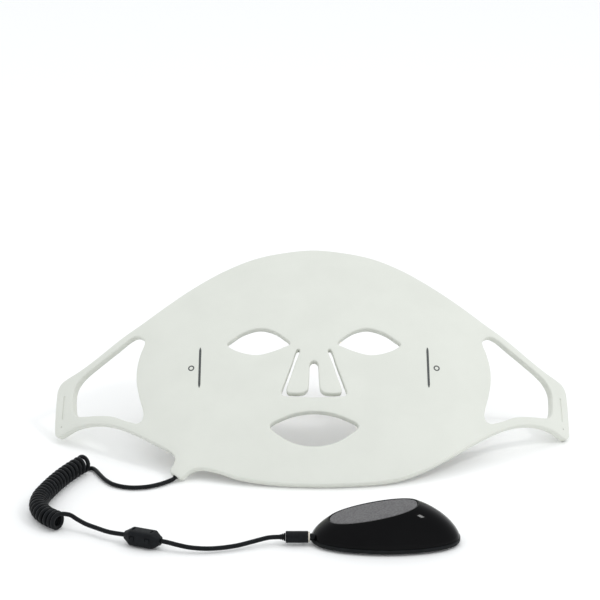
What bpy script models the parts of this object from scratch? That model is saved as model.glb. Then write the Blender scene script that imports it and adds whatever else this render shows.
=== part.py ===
"""LED face mask with its curly lead, clip-on ferrite and pebble controller (metres, +Z up).

The mask is a flat silicone sheet that is bent: every layer is drawn flat in (u, v, w), where u
runs across the face, v up the face and w out of its front, then cut at even stations along u
and rolled by sheet().  It stands leaning back on its chin, its cable nub and its wing tips.
The controller stands in front of it on the same floor, and the lead lies between the two.
The origin is the centre of the bottom of the mask's and controller's box.
"""
import bpy
import bmesh
import math
import numpy as np
from mathutils import Matrix, Vector

# ---- driving dimensions ---------------------------------------------------------------
CHIN = Vector((0.0010, -0.0252, 0.0))   # floor point below the chin's front edge
LEAN = math.radians(52)                 # sheet leans back from the vertical
BEND = 1.504                            # slope of the bend at the middle, radians a metre
CURL_LEFT, CURL_RIGHT = 72.6, 82.9      # cubic growth of the bend, radians a cubic metre
THICK = 0.0050                          # whole mask, front to back
SKIN = 0.0016                           # front cover over the lamps
GAP = 0.0003                            # between neighbouring solids
RIM = 0.0026                            # wall round each hole in the face
BOARD = 0.0004                          # flexible circuit sheet
CHIP = 0.0030                           # side of a square lamp chip
CHIP_PITCH = 0.021                      # between lamp chips
REAR = 0.0014                           # translucent rear cover
STATION = 0.011                         # spacing of the cuts that let a flat layer bend
HINGE_U = 0.132                         # where the wing loops flex
WING_BACK, WING_FRONT = 40, 10          # degrees that a wing folds back and forward
FLAP_ROOT = 0.0940                      # height of the nose flaps' roots
BOSS = 0.0030                           # radius of the bulge in the cable nub
CORD = 0.0029                           # lead's outer diameter
COIL = 0.0125                           # curly stretch's outer diameter
PEBBLE = Vector((0.0437, -0.0805, 0.0)) # controller's centre from the chin, on the floor
HALF_LONG, HALF_DEEP = 0.0465, 0.0220   # controller's plan
SHELL = 0.0018                          # controller's wall
SPLIT = 0.0043                          # height of the controller's parting line
DOME = 0.0274                           # rise of the dome over the parting line, uncut
DEEP_POWER = 2.4                        # squareness of its plan across
FULLNESS = 0.72                         # under 1, the flank bulges between facet and parting line
PAD_HIGH = 0.0206                       # height of the sloped press pad at PAD_X
PAD_X = -0.0079                         # pad's middle from the controller's centre
PAD_SLOPE = math.radians(11.3)          # pad rises towards the far end
PAD_THICK = 0.0016
PAD_TRAVEL = 0.0006
SOCKET_Y, SOCKET_Z = -0.0040, 0.0050    # lead's socket in the controller's end
FERRITE_AT = Vector((-0.1068, -0.0872, 0.0056))
FERRITE_TURN = math.radians(-22)
FERRITE_R, FERRITE_LONG = 0.0054, 0.0245

for old in list(bpy.data.objects):
    bpy.data.objects.remove(old, do_unlink=True)

parts = bpy.data.collections.new("led_face_mask")
tools = bpy.data.collections.new("cutters")
for group in (parts, tools):
    bpy.context.scene.collection.children.link(group)


# ---- materials ------------------------------------------------------------------------
def material(name, colour, roughness, metallic=0.0, transmission=0.0):
    """Principled material with one colour."""
    mat = bpy.data.materials.new(name)
    mat.use_nodes = True
    shader = mat.node_tree.nodes["Principled BSDF"]
    shader.inputs["Base Color"].default_value = (*colour, 1.0)
    shader.inputs["Roughness"].default_value = roughness
    shader.inputs["Metallic"].default_value = metallic
    shader.inputs["Transmission Weight"].default_value = transmission
    mat.diffuse_color = (*colour, 1.0)
    return mat


# ---- small modelling helpers ----------------------------------------------------------
def as_object(name, mesh, mat=None, group=None):
    """Put a mesh in the scene under a name."""
    obj = bpy.data.objects.new(name, mesh)
    (group or parts).objects.link(obj)
    if mat:
        mesh.materials.clear()
        mesh.materials.append(mat)
    return obj


def cutter(obj):
    """Mark an object as a tool that shapes others and isn't part of the mask."""
    for group in obj.users_collection:
        group.objects.unlink(obj)
    tools.objects.link(obj)
    obj.hide_render = True
    obj.display_type = "WIRE"
    return obj


def settled(obj):
    """The object's evaluated mesh, welded, as a new mesh; the object is removed."""
    depsgraph = bpy.context.evaluated_depsgraph_get()
    mesh = bpy.data.meshes.new_from_object(obj.evaluated_get(depsgraph))
    bm = bmesh.new()
    bm.from_mesh(mesh)
    bmesh.ops.remove_doubles(bm, verts=bm.verts, dist=1e-6)
    bm.to_mesh(mesh)
    bm.free()
    bpy.data.objects.remove(obj, do_unlink=True)
    return mesh


def combine(mesh, other, operation):
    """Boolean of two meshes in the same space, worked out exactly."""
    body = as_object("body", mesh, group=tools)
    tool = cutter(as_object("tool", other, group=tools))
    step = body.modifiers.new("join", "BOOLEAN")
    step.object = tool
    step.operation = operation
    step.solver = "EXACT"
    bpy.context.view_layer.update()
    result = settled(body)
    bpy.data.objects.remove(tool, do_unlink=True)
    return result


def box(low, high):
    """Box mesh between two corners."""
    mesh = bpy.data.meshes.new("box")
    bm = bmesh.new()
    size = [h - l for l, h in zip(low, high)]
    centre = [(h + l) / 2 for l, h in zip(low, high)]
    bmesh.ops.create_cube(bm, size=1.0)
    placed = Matrix.Translation(centre) @ Matrix.Diagonal((*size, 1.0))
    bmesh.ops.transform(bm, matrix=placed, verts=bm.verts)
    bm.to_mesh(mesh)
    bm.free()
    return mesh


def rod(start, end, radius, end_radius=None, sides=20):
    """Cylinder or cone mesh between two points."""
    start, end = Vector(start), Vector(end)
    mesh = bpy.data.meshes.new("rod")
    bm = bmesh.new()
    bmesh.ops.create_cone(bm, cap_ends=True, segments=sides, radius1=radius,
                          radius2=radius if end_radius is None else end_radius,
                          depth=(end - start).length)
    turn = (end - start).to_track_quat("Z", "Y").to_matrix().to_4x4()
    bmesh.ops.transform(bm, matrix=Matrix.Translation((start + end) / 2) @ turn, verts=bm.verts)
    bm.to_mesh(mesh)
    bm.free()
    return mesh


def smooth(points, step=0.005, closed=True):
    """Points along a centripetal Catmull-Rom curve through the given ones."""
    p = np.array(points, float)
    count = len(p)
    spans = count if closed else count - 1
    found = []
    for i in range(spans):
        if closed:
            a, b, c, d = (p[(i + k) % count] for k in (-1, 0, 1, 2))
        else:
            b, c = p[i], p[i + 1]
            a = p[i - 1] if i else 2 * b - c
            d = p[i + 2] if i + 2 < count else 2 * c - b
        k0, k1, k2 = (np.sqrt(np.linalg.norm(y - x)) for x, y in ((a, b), (b, c), (c, d)))
        out = (b - a) / k0 - (c - a) / (k0 + k1) + (c - b) / k1
        back = (c - b) / k1 - (d - b) / (k1 + k2) + (d - c) / k2
        pieces = max(1, round(np.linalg.norm(c - b) / step))
        for t in np.arange(pieces) / pieces:
            found.append((2 * t**3 - 3 * t**2 + 1) * b + (t**3 - 2 * t**2 + t) * out * k1
                         + (3 * t**2 - 2 * t**3) * c + (t**3 - t**2) * back * k1)
    if not closed:
        found.append(p[-1])
    return np.array(found)


def grown(loop, distance):
    """Closed loop moved outwards along its own normals, or inwards if negative."""
    ahead, behind = np.roll(loop, -1, 0), np.roll(loop, 1, 0)
    x, y = loop.T
    turn = np.sign(np.sum(x * np.roll(y, -1) - y * np.roll(x, -1)))
    into = (loop - behind) / np.linalg.norm(loop - behind, axis=1)[:, None]
    out = (ahead - loop) / np.linalg.norm(ahead - loop, axis=1)[:, None]
    side = into + out
    side /= np.linalg.norm(side, axis=1)[:, None]
    normal = np.stack([side[:, 1], -side[:, 0]], 1) * turn
    mitre = np.clip(np.sum(side * out, 1), 0.6, 1)
    return loop + normal * (distance / mitre)[:, None]


def slab(loops, back, front):
    """Flat solid between two levels of w, filled between the given closed loops."""
    curve = bpy.data.curves.new("outline", "CURVE")
    curve.dimensions = "2D"
    curve.fill_mode = "BOTH"
    curve.extrude = (front - back) / 2
    for loop in loops:
        spline = curve.splines.new("POLY")
        spline.points.add(len(loop) - 1)
        spline.points.foreach_set("co", np.pad(loop, ((0, 0), (0, 2)))[:, :4].ravel())
        spline.use_cyclic_u = True
    obj = bpy.data.objects.new("outline", curve)
    tools.objects.link(obj)
    bpy.context.view_layer.update()
    mesh = settled(obj)
    mesh.transform(Matrix.Translation((0, 0, (front + back) / 2)))
    return mesh


# ---- the bent sheet -------------------------------------------------------------------
UP = np.array([0.0, math.sin(LEAN), math.cos(LEAN)])     # up the sheet
BEHIND = np.array([0.0, math.cos(LEAN), -math.sin(LEAN)])  # out of its back


def slope(u):
    """Angle of the sheet at u: gentle over the face, closing towards the wings."""
    return BEND * u + np.where(u < 0, CURL_LEFT, CURL_RIGHT) * u**3


U_TABLE = np.linspace(-0.22, 0.22, 2201)
STEP = U_TABLE[1] - U_TABLE[0]
ACROSS = np.cumsum(np.cos(slope(U_TABLE))) * STEP
BACKWARD = np.cumsum(np.sin(slope(U_TABLE))) * STEP
ACROSS -= np.interp(0, U_TABLE, ACROSS)
BACKWARD -= np.interp(0, U_TABLE, BACKWARD)


def sheet(flat):
    """Place of flat points (u, v, w) on the bent, leaning sheet."""
    flat = np.atleast_2d(np.asarray(flat, float))
    u, v, w = flat.T
    angle = slope(u)
    across = np.interp(u, U_TABLE, ACROSS) + w * np.sin(angle)
    backward = np.interp(u, U_TABLE, BACKWARD) - w * np.cos(angle)
    place = np.outer(across, (1, 0, 0)) + np.outer(v, UP) + np.outer(backward, BEHIND)
    return place + np.array(CHIN) + (0, 0, THICK * math.sin(LEAN))


def bent(name, mesh, mat):
    """Cut a flat mesh at even stations, roll it onto the sheet and make it a part."""
    bm = bmesh.new()
    bm.from_mesh(mesh)
    bmesh.ops.dissolve_limit(bm, angle_limit=0.002, verts=bm.verts[:], edges=bm.edges[:])
    for u in np.arange(-18, 19) * STATION:
        bmesh.ops.bisect_plane(bm, geom=bm.verts[:] + bm.edges[:] + bm.faces[:], dist=1e-6,
                               plane_co=(u, 0, 0), plane_no=(1, 0, 0))
    bmesh.ops.triangulate(bm, faces=bm.faces[:])
    place = sheet([v.co for v in bm.verts])
    for vert, at in zip(bm.verts, place):
        vert.co = at
    bm.to_mesh(mesh)
    bm.free()
    return as_object(name, mesh, mat)


def turn_about(obj, point):
    """Move an object's origin to a point on its joint's axis, leaving the mesh in place."""
    obj.data.transform(Matrix.Translation(-Vector(point)))
    obj.location = point


# ---- outlines of the flat mask, millimetres in (u, v), then metres --------------------
BROW_TO_TIP = [(18.6, 188.5), (40.3, 184.0), (62.3, 174.9), (85.4, 161.7), (104.7, 149.0),
               (122.5, 137.1), (135.3, 129.9), (158.9, 116.6), (172.8, 111.6), (183.0, 110.0),
               (190.2, 108.7), (194.4, 104.8), (195.4, 96.5), (195.2, 82.0), (194.6, 72.5),
               (193.6, 67.2), (190.6, 64.4), (185.5, 64.2), (176.0, 65.4), (163.5, 64.6),
               (151.8, 61.9), (139.5, 57.2), (126.9, 50.1), (112.8, 40.6), (97.5, 29.4)]
JAW = [(81.4, 18.3), (72.2, 12.9), (61.0, 7.6), (47.4, 3.6), (24.0, 0.8)]
NUB = [(96.0, 28.4), (94.2, 24.4), (94.9, 20.3), (97.3, 15.8), (96.9, 13.9), (90.4, 9.2),
       (88.3, 9.3), (84.3, 13.3), (77.5, 15.4), (64.3, 12.1), (52.0, 7.0), (29.7, 2.2)]
LOOP = [(119.9, 121.5), (122.6, 125.6), (126.5, 127.4), (131.0, 126.3), (142.2, 119.4), (154.6, 112.8),
        (167.0, 106.9), (172.4, 103.5), (175.9, 99.6), (177.5, 95.0), (177.2, 86.0), (175.6, 78.5),
        (172.2, 74.6), (164.5, 71.8), (156.6, 69.9), (146.9, 67.3), (140.4, 64.8), (132.6, 60.3),
        (126.5, 57.4), (122.6, 56.0), (119.3, 57.3), (118.2, 62.0), (122.2, 77.7), (124.2, 87.0),
        (124.9, 95.2), (124.5, 103.0), (122.6, 112.1)]
LAMP_FIELD = [(18, 184.9), (39, 180.5), (60.5, 171.5), (83.2, 158.5), (99, 147.6), (108, 140.3),
              (113.5, 132), (115.8, 122), (119.0, 110), (121.0, 95), (118.8, 79), (115.0, 65),
              (111.5, 54), (105.5, 44.2), (95, 33.5), (80, 22.5), (70.5, 17.0), (59.6, 11.8),
              (46.2, 7.6), (22, 4.4)]
EYE = [(16.4, 111.0), (21.5, 116.9), (28.5, 121.8), (37.6, 124.2), (49.0, 121.0), (56.8, 115.6),
       (60.4, 112.2), (56.6, 108.2), (48.0, 104.2), (38.6, 102.6), (27.5, 105.4), (20.8, 108.4)]
MOUTH = [(29.9, 45.4), (20.8, 51.7), (10.6, 55.3), (0, 56.5), (-10.6, 55.3), (-20.8, 51.7),
         (-29.9, 45.4), (-20.8, 36.0), (-10.6, 30.8), (0, 29.3), (10.6, 30.8), (20.8, 36.0)]
SLOT = [(0, 96.6), (1.7, 96.0), (2.6, 94.6)]
SLIT = [(13.0, 94.6), (9.8, 104.6), (9.9, 105.9), (11.0, 106.4), (12.0, 105.4), (15.1, 95.0),
        (21.4, 75.0), (22.3, 71.6), (21.2, 69.2), (18.6, 68.5), (9.0, 67.9)]
FLAP = [(2.8, 93.7), (13.1, 93.7), (18.6, 75.6), (18.9, 73.2), (17.6, 71.4), (15.0, 70.9),
        (9.6, 70.9), (6.6, 71.7), (4.7, 73.5), (3.9, 76.0)]
NOSE_WALL = [(6.5, 106.6), (10.5, 109.0), (14.4, 107.2), (17.9, 96.0), (24.2, 75.5), (25.2, 71.0),
             (23.0, 66.8), (18.5, 65.4), (9.0, 65.0)]
MM = 0.001


def mirrored(points):
    """The same points on the other side, in the reverse order."""
    return [(-u, v) for u, v in reversed(points)]


right_edge = BROW_TO_TIP + JAW
left_edge = [(-u, v) for u, v in BROW_TO_TIP[:-1] + NUB]
outer = smooth(np.array([(0, 190.2)] + right_edge + [(0, 0)] + left_edge[::-1]) * MM, 0.006)
wing_hole = smooth(np.array(LOOP) * MM, 0.005)
lamp_field = smooth(np.array([(0, 186.6)] + LAMP_FIELD + [(0, 4.2)] + mirrored(LAMP_FIELD)) * MM, 0.009)
eye = smooth(np.array(EYE) * MM, 0.005)
mouth = smooth(np.array(MOUTH) * MM, 0.006)
root_line = [(2.6, FLAP_ROOT / MM), (13.2, FLAP_ROOT / MM)]
half_nose = SLOT + root_line + SLIT
nose = np.array(half_nose + [(0, 67.6)] + mirrored(half_nose[1:])) * MM
flap = np.array(FLAP) * MM
other_side = np.array([-1, 1])
FACE_HOLES = [eye, eye * other_side, mouth, nose]
nose_wall = smooth(np.array([(0, 104.5)] + NOSE_WALL + [(0, 64.8)] + mirrored(NOSE_WALL)) * MM, 0.006)
WALLS = [grown(hole, RIM) for hole in FACE_HOLES[:3]] + [nose_wall]

silicone = material("white_silicone", (0.79, 0.81, 0.76), 0.62)
clear_silicone = material("translucent_silicone", (0.72, 0.72, 0.69), 0.45, 0.0, 0.3)
flex_board = material("flexible_circuit", (0.72, 0.45, 0.13), 0.45)
black_vinyl = material("black_vinyl", (0.012, 0.014, 0.017), 0.42)

# ---- front cover: one moulded tray, with the two arm stubs that carry the wings -------
whole = slab([outer, wing_hole, wing_hole * other_side], -THICK, 0.0)
wing_sheet = whole.copy()
for hole in FACE_HOLES:
    whole = combine(whole, slab([hole], -THICK - 0.001, 0.001), "DIFFERENCE")

NUB_MOUTH = Vector((-0.0930, 0.0119, -0.0018))
NUB_INNER = Vector((-0.0800, 0.0285, -0.0020))
nub_axis = (NUB_INNER - NUB_MOUTH).normalized()
bulge = rod(NUB_MOUTH + nub_axis * 0.0002, NUB_MOUTH + nub_axis * 0.014, BOSS, 0.0024)
whole = combine(whole, bulge, "UNION")
bush_way = rod(NUB_MOUTH - nub_axis * 0.004, NUB_MOUTH + nub_axis * 0.0065, 0.0021)
whole = combine(whole, bush_way, "DIFFERENCE")
lead_way = rod(NUB_MOUTH - nub_axis * 0.004, NUB_MOUTH + nub_axis * 0.0180, 0.0013, sides=14)
whole = combine(whole, lead_way, "DIFFERENCE")

pocket = slab([lamp_field] + WALLS, -THICK - 0.001, -SKIN)
whole = combine(whole, pocket, "DIFFERENCE")


def beyond_hinge(side, back_gap):
    """Solid that holds everything outboard of a wing's flex line, opening towards the front."""
    half_angle = math.radians(WING_FRONT / 2)
    mesh = box((0, -0.05, -0.05), (0.1, 0.25, 0.05))
    mesh.transform(Matrix.Rotation(half_angle * math.copysign(1, back_gap), 4, "Y"))
    mesh.transform(Matrix.Translation((HINGE_U + back_gap, 0, -THICK)))
    if side < 0:
        mesh.transform(Matrix.Rotation(math.pi, 4, "Z"))
        mesh.transform(Matrix.Translation((0, 0.2, 0)))
    return mesh


for side in (-1, 1):
    whole = combine(whole, beyond_hinge(side, -GAP / 2), "DIFFERENCE")
bent("front_cover", whole, silicone)

# ---- wing loops: each a strap loop that flexes where its two arms leave the face ------
for side, name in ((-1, "left_wing_loop"), (1, "right_wing_loop")):
    loop = combine(wing_sheet.copy(), beyond_hinge(side, GAP / 2), "INTERSECT")
    groove = box((side * 0.1862 - 0.0009, 0.0775, -0.0006), (side * 0.1862 + 0.0009, 0.0955, 0.002))
    loop = combine(loop, groove, "DIFFERENCE")
    wing = bent(name, loop, material(name, (0.74, 0.76, 0.71), 0.62))
    turn_about(wing, sheet([side * HINGE_U, 0.09, -THICK])[0])

# ---- nose flaps: hang from their roots and lift off the nose --------------------------
for side, name in ((-1, "left_nose_flap"), (1, "right_nose_flap")):
    tongue = slab([flap * (side, 1)], -THICK, 0.0)
    tongue = bent(name, tongue, material(name, (0.79, 0.81, 0.76), 0.62))
    turn_about(tongue, sheet([side * 0.008, FLAP_ROOT, 0])[0])


# ---- lamp board: flexible sheet with a square lamp chip at every grid point -----------
def inside(point, loop):
    """Whether a flat point is inside a closed loop, by counting crossings."""
    x, y = loop.T
    nx, ny = np.roll(x, -1), np.roll(y, -1)
    crosses = (y > point[1]) != (ny > point[1])
    at = x + (point[1] - y) * (nx - x) / np.where(crosses, ny - y, 1)
    return bool(np.sum(crosses & (at > point[0])) % 2)


board_edge = grown(lamp_field, -0.0006)
board_holes = [grown(wall, 0.0006) for wall in WALLS]
board_front = -SKIN - GAP
board = slab([board_edge] + board_holes, board_front - BOARD, board_front)
chip_edge = grown(lamp_field, -0.0065)
chip_holes = [grown(wall, 0.0032) for wall in WALLS]
solder_at = NUB_MOUTH + nub_axis * 0.026
for row in range(-1, 12):
    for column in range(-7, 8):
        spot = ((column + (row % 2) / 2) * CHIP_PITCH, 0.004 + row * CHIP_PITCH * 0.82)
        near_lead = (Vector(spot) - solder_at.xy).length < 0.011
        if near_lead or not inside(spot, chip_edge) or any(inside(spot, hole) for hole in chip_holes):
            continue
        low = (spot[0] - CHIP / 2, spot[1] - CHIP / 2, board_front - BOARD - 0.0008)
        high = (spot[0] + CHIP / 2, spot[1] + CHIP / 2, board_front - BOARD / 2)
        board = combine(board, box(low, high), "UNION")
bent("led_board", board, flex_board)

solder_top = board_front - BOARD - GAP
solder = box((-0.005, -0.003, solder_top - 0.0007), (0.005, 0.003, solder_top))
turned_in = Matrix.Translation((solder_at.x, solder_at.y, 0)) @ Matrix.Rotation(math.radians(52), 4, "Z")
solder.transform(turned_in)
bent("lead_solder_block", solder, material("potting", (0.05, 0.05, 0.05), 0.5))

# ---- rear cover: translucent sheet let into the back of the tray ----------------------
rear_holes = [grown(wall, GAP) for wall in WALLS]
rear = slab([grown(lamp_field, -GAP)] + rear_holes, -THICK, -THICK + REAR)
bent("rear_cover", rear, clear_silicone)

# ---- cable sleeve: black bush in the mouth of the nub ---------------------------------
sleeve = rod(NUB_MOUTH - nub_axis * 0.0012, NUB_MOUTH + nub_axis * 0.0060, 0.0018)
bent("cable_sleeve", sleeve, black_vinyl)


# ---- lead: straight stretches as tubes, the curly stretch as one fat tube -------------
def tube(name, route, diameter, step, mat, sides=2):
    """Round tube along a smooth curve through a route given from the chin."""
    points = smooth(np.array(route), step, closed=False) + np.array(CHIN)
    curve = bpy.data.curves.new(name, "CURVE")
    curve.dimensions = "3D"
    curve.bevel_depth = diameter / 2
    curve.bevel_resolution = sides
    curve.use_fill_caps = True
    spline = curve.splines.new("POLY")
    spline.points.add(len(points) - 1)
    spline.points.foreach_set("co", np.pad(points, ((0, 0), (0, 1)), constant_values=1).ravel())
    curve.materials.append(mat)
    obj = bpy.data.objects.new(name, curve)
    parts.objects.link(obj)
    return obj


mouth_out = Vector(sheet(NUB_MOUTH - nub_axis * 0.0012)[0]) - CHIN
lead_out = (mouth_out - (Vector(sheet(NUB_MOUTH + nub_axis * 0.004)[0]) - CHIN)).normalized()
start = mouth_out + lead_out * (GAP + 0.0002)
LEAD_ROUTE = [tuple(start), tuple(start + lead_out * 0.0013), (-0.0966, 0.0113, 0.0017),
              (-0.1030, 0.0058, 0.0016), (-0.1121, 0.0012, 0.0016), (-0.1230, 0.0006, 0.0016),
              (-0.1330, 0.0052, 0.0016), (-0.1400, 0.0140, 0.0016), (-0.1445, 0.0230, 0.0016),
              (-0.1478, 0.0300, 0.0016), (-0.1506, 0.0332, 0.0016)]
COIL_ROUTE = [(-0.1546, 0.0320, 0.0064), (-0.1610, 0.0205, 0.0064), (-0.1672, 0.0068, 0.0064),
              (-0.1730, -0.0100, 0.0064), (-0.1776, -0.0300, 0.0064), (-0.1762, -0.0448, 0.0064),
              (-0.1700, -0.0560, 0.0064), (-0.1615, -0.0640, 0.0064)]
TAIL_ROUTE = [(-0.1588, -0.0646, 0.0112), (-0.1548, -0.0628, 0.0102), (-0.1502, -0.0640, 0.0078),
              (-0.1445, -0.0672, 0.0060), (-0.1372, -0.0716, 0.0052), (-0.1290, -0.0776, 0.0052),
              (-0.1221, -0.0810, 0.0055), (-0.1193, -0.0821, 0.0056), (-0.1068, -0.0872, 0.0056),
              (-0.0943, -0.0923, 0.0056), (-0.0915, -0.0934, 0.0055), (-0.0848, -0.0957, 0.0047),
              (-0.0770, -0.0970, 0.0036), (-0.0650, -0.0968, 0.0028), (-0.0500, -0.0933, 0.0029),
              (-0.0385, -0.0888, 0.0039), (-0.0330, -0.0866, 0.0045), (-0.0283, -0.0851, 0.0049),
              (-0.0226, -0.0845, 0.0050)]
tube("lead_cord", LEAD_ROUTE, CORD, 0.0060, black_vinyl)
tube("curly_cord", COIL_ROUTE, COIL, 0.0150, black_vinyl, 4)
tube("tail_cord", TAIL_ROUTE, CORD, 0.0060, black_vinyl)


# ---- clip-on ferrite: two case halves round two half cores, hinged along one side -----
def turned(profile, steps):
    """Solid turned round X from (x, radius) points that begin and end on the axis."""
    mesh = bpy.data.meshes.new("profile")
    mesh.from_pydata([(x, 0.0, r) for x, r in profile], [(i, i + 1) for i in range(len(profile) - 1)], [])
    obj = bpy.data.objects.new("profile", mesh)
    tools.objects.link(obj)
    screw = obj.modifiers.new("turn", "SCREW")
    screw.axis = "X"
    screw.steps = screw.render_steps = steps
    screw.use_merge_vertices = True
    screw.merge_threshold = 1e-6
    bpy.context.view_layer.update()
    mesh = settled(obj)
    bm = bmesh.new()
    bm.from_mesh(mesh)
    bmesh.ops.recalc_face_normals(bm, faces=bm.faces)
    bm.to_mesh(mesh)
    bm.free()
    return mesh


half = FERRITE_LONG / 2
CORE_R, CORE_LONG = 0.0039, 0.0170
case_profile = [(-half, 0), (-half, 0.0029), (-half + 0.0042, FERRITE_R), (half - 0.0042, FERRITE_R),
                (half, 0.0029), (half, 0)]
case = turned(case_profile, 8)
core_way = rod((-CORE_LONG / 2 - GAP, 0, 0), (CORE_LONG / 2 + GAP, 0, 0), CORE_R + GAP)
case = combine(case, core_way, "DIFFERENCE")
case = combine(case, rod((-0.02, 0, 0), (0.02, 0, 0), CORD / 2 + 0.0004, sides=16), "DIFFERENCE")
core = combine(rod((-CORE_LONG / 2, 0, 0), (CORE_LONG / 2, 0, 0), CORE_R),
               rod((-0.02, 0, 0), (0.02, 0, 0), CORD / 2 + 0.0005, sides=16), "DIFFERENCE")
hinge_point = bpy.data.objects.new("ferrite_hinge", None)
parts.objects.link(hinge_point)
hinge_point.location = CHIN + FERRITE_AT + Matrix.Rotation(FERRITE_TURN, 3, "Z") @ Vector((0, FERRITE_R, 0))
hinge_point.rotation_euler = (0, 0, FERRITE_TURN)
black_nylon = material("black_nylon", (0.010, 0.011, 0.013), 0.38)
ferrite_grey = material("sintered_ferrite", (0.06, 0.06, 0.065), 0.55)
for label, low, high in (("lower", -0.02, -GAP / 2), ("upper", GAP / 2, 0.02)):
    keep = box((-0.03, -0.02, low), (0.03, 0.02, high))
    for piece, mesh, mat in (("case", case, black_nylon), ("core", core, ferrite_grey)):
        half_piece = combine(mesh.copy(), keep.copy(), "INTERSECT")
        obj = as_object(f"ferrite_{piece}_{label}", half_piece, mat)
        obj.parent = hinge_point
        obj.location = (0, -FERRITE_R, 0)

# ---- plug on the lead's far end, in the controller's socket ---------------------------
plug_at = CHIN + PEBBLE + Vector((0, SOCKET_Y, SOCKET_Z))
PLUG_FACE = -HALF_LONG - 0.0004
COLLAR_LONG, GRIP_LONG, BOOT_LONG, GRIP_R = 0.0010, 0.0140, 0.0032, 0.0037


def on_plug(name, mesh, mat):
    """A piece modelled along X from the controller's centre, on the plug's axis."""
    obj = as_object(name, mesh, mat)
    obj.location = plug_at
    return obj


body_end = PLUG_FACE - COLLAR_LONG - GAP
body_start = body_end - GRIP_LONG
boot_start = body_start - GAP - BOOT_LONG
on_plug("plug_boot", rod((boot_start, 0, 0), (body_start - GAP, 0, 0), 0.0018, 0.0025), black_vinyl)
grip = turned([(body_start, 0), (body_start, GRIP_R - 0.0005), (body_start + 0.0006, GRIP_R),
               (body_end - 0.0004, GRIP_R), (body_end, GRIP_R - 0.0003), (body_end, 0)], 20)
on_plug("plug_body", grip, material("plug_vinyl", (0.014, 0.015, 0.018), 0.35))
barrel = turned([(body_end + GAP, 0), (body_end + GAP, 0.0033), (PLUG_FACE - 0.0004, 0.0033),
                 (PLUG_FACE - 0.0004, 0.0020), (PLUG_FACE + 0.0125, 0.0020), (PLUG_FACE + 0.0130, 0.0016),
                 (PLUG_FACE + 0.0130, 0.0)], 20)
bore = rod((PLUG_FACE + 0.004, 0, 0), (PLUG_FACE + 0.02, 0, 0), 0.0010, sides=12)
barrel = combine(barrel, bore, "DIFFERENCE")
on_plug("plug_barrel", barrel, material("nickel_plate", (0.72, 0.68, 0.60), 0.25, 1.0))

# ---- controller: a pebble in two shells, with a sloped press pad ----------------------
FACET_SIDES, FACET_X, FACET_POWER = 48, -0.0067, 0.92
FACET_LONG, FACET_DEEP = 0.0266, 0.0139    # half sizes of the oval where the slope cuts the dome
RECESS = PAD_THICK + PAD_TRAVEL + GAP
ROOF = RECESS + 0.0015                     # from the slope down to the roof inside


def filled_out(x, y, height, drop):
    """Height over the parting line made fuller on the flank, outside the facet's edge."""
    out = (abs(x - FACET_X) / FACET_LONG)**2 + (abs(y) / FACET_DEEP)**(2 / FACET_POWER)
    edge_x = FACET_X + (x - FACET_X) / math.sqrt(max(out, 1e-9))
    edge = PAD_HIGH - SPLIT - drop + (edge_x - PAD_X) * math.tan(PAD_SLOPE)
    return edge * (height / edge)**FULLNESS if out > 1 and height < edge else height


def dome(inset, base, rise, drop):
    """Closed solid under the pebble's dome, its plan set in, its base and its edge at heights."""
    a, b = HALF_LONG - 0.0005 - inset, HALF_DEEP - 0.0003 - inset
    mesh = bpy.data.meshes.new("dome")
    bm = bmesh.new()
    bmesh.ops.create_uvsphere(bm, u_segments=36, v_segments=16, radius=1.0)
    bmesh.ops.bisect_plane(bm, geom=bm.verts[:] + bm.edges[:] + bm.faces[:], dist=1e-6,
                           plane_co=(0, 0, 0), plane_no=(0, 0, -1), clear_outer=True)
    for vert in bm.verts:
        x, y, z = vert.co
        across = math.copysign(b * abs(y)**(2 / DEEP_POWER), y)
        vert.co = (a * x, across, base + filled_out(a * x, across, rise * z**2, drop))
    rim = [edge for edge in bm.edges if edge.is_boundary]
    bmesh.ops.contextual_create(bm, geom=rim)
    bmesh.ops.recalc_face_normals(bm, faces=bm.faces)
    bm.to_mesh(mesh)
    bm.free()
    return mesh


def plan(inset, low, high, count=56):
    """Upright solid with the pebble's plan."""
    angle = np.arange(count) * 2 * np.pi / count
    power = 2 / DEEP_POWER
    x = (HALF_LONG - inset) * np.cos(angle)
    y = (HALF_DEEP - inset) * np.sign(np.sin(angle)) * np.abs(np.sin(angle))**power
    return slab([np.stack([x, y], 1)], low, high)


def above_slope(drop):
    """Solid over the press pad's plane, lowered by a distance."""
    mesh = box((-0.1, -0.05, 0), (0.1, 0.05, 0.06))
    mesh.transform(Matrix.Rotation(-PAD_SLOPE, 4, "Y"))
    mesh.transform(Matrix.Translation((PAD_X, 0, PAD_HIGH - drop)))
    return mesh


def facet(inset):
    """Upright solid over the pad's outline: an oval where the slope cuts the dome."""
    angle = np.arange(FACET_SIDES) * 2 * np.pi / FACET_SIDES
    x = FACET_X + (FACET_LONG - inset) * np.cos(angle)
    y = (FACET_DEEP - inset) * np.sign(np.sin(angle)) * np.abs(np.sin(angle))**FACET_POWER
    return slab([np.stack([x, y], 1)], 0.0, 0.06)


WELL_INSET, PAD_INSET = 0.0012, 0.0015     # pad's well and the pad, in from the facet's edge
PLUNGER_HOLE, PAD_STEM = 0.0026, 0.0018    # radii of the hole over the switch and the pad's stem
PORT_END, PORT_R = -0.0394, 0.0024         # inner end and radius of the lead's port
SCREW_X, SCREW_Y = 0.029, 0.0095
SCREW_HOLE, SCREW_SEAT, SCREW_BOSS = 0.0013, 0.0023, 0.0025
BASE, FLOOR_THICK, SIDE_THICK = 0.0013, 0.0014, 0.0016
SOCKET_LONG, SOCKET_HALF = (-0.0390, -0.0310), 0.0032
gloss_black = material("gloss_abs", (0.004, 0.004, 0.005), 0.07)
satin_black = material("satin_abs", (0.030, 0.032, 0.034), 0.45)

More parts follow.
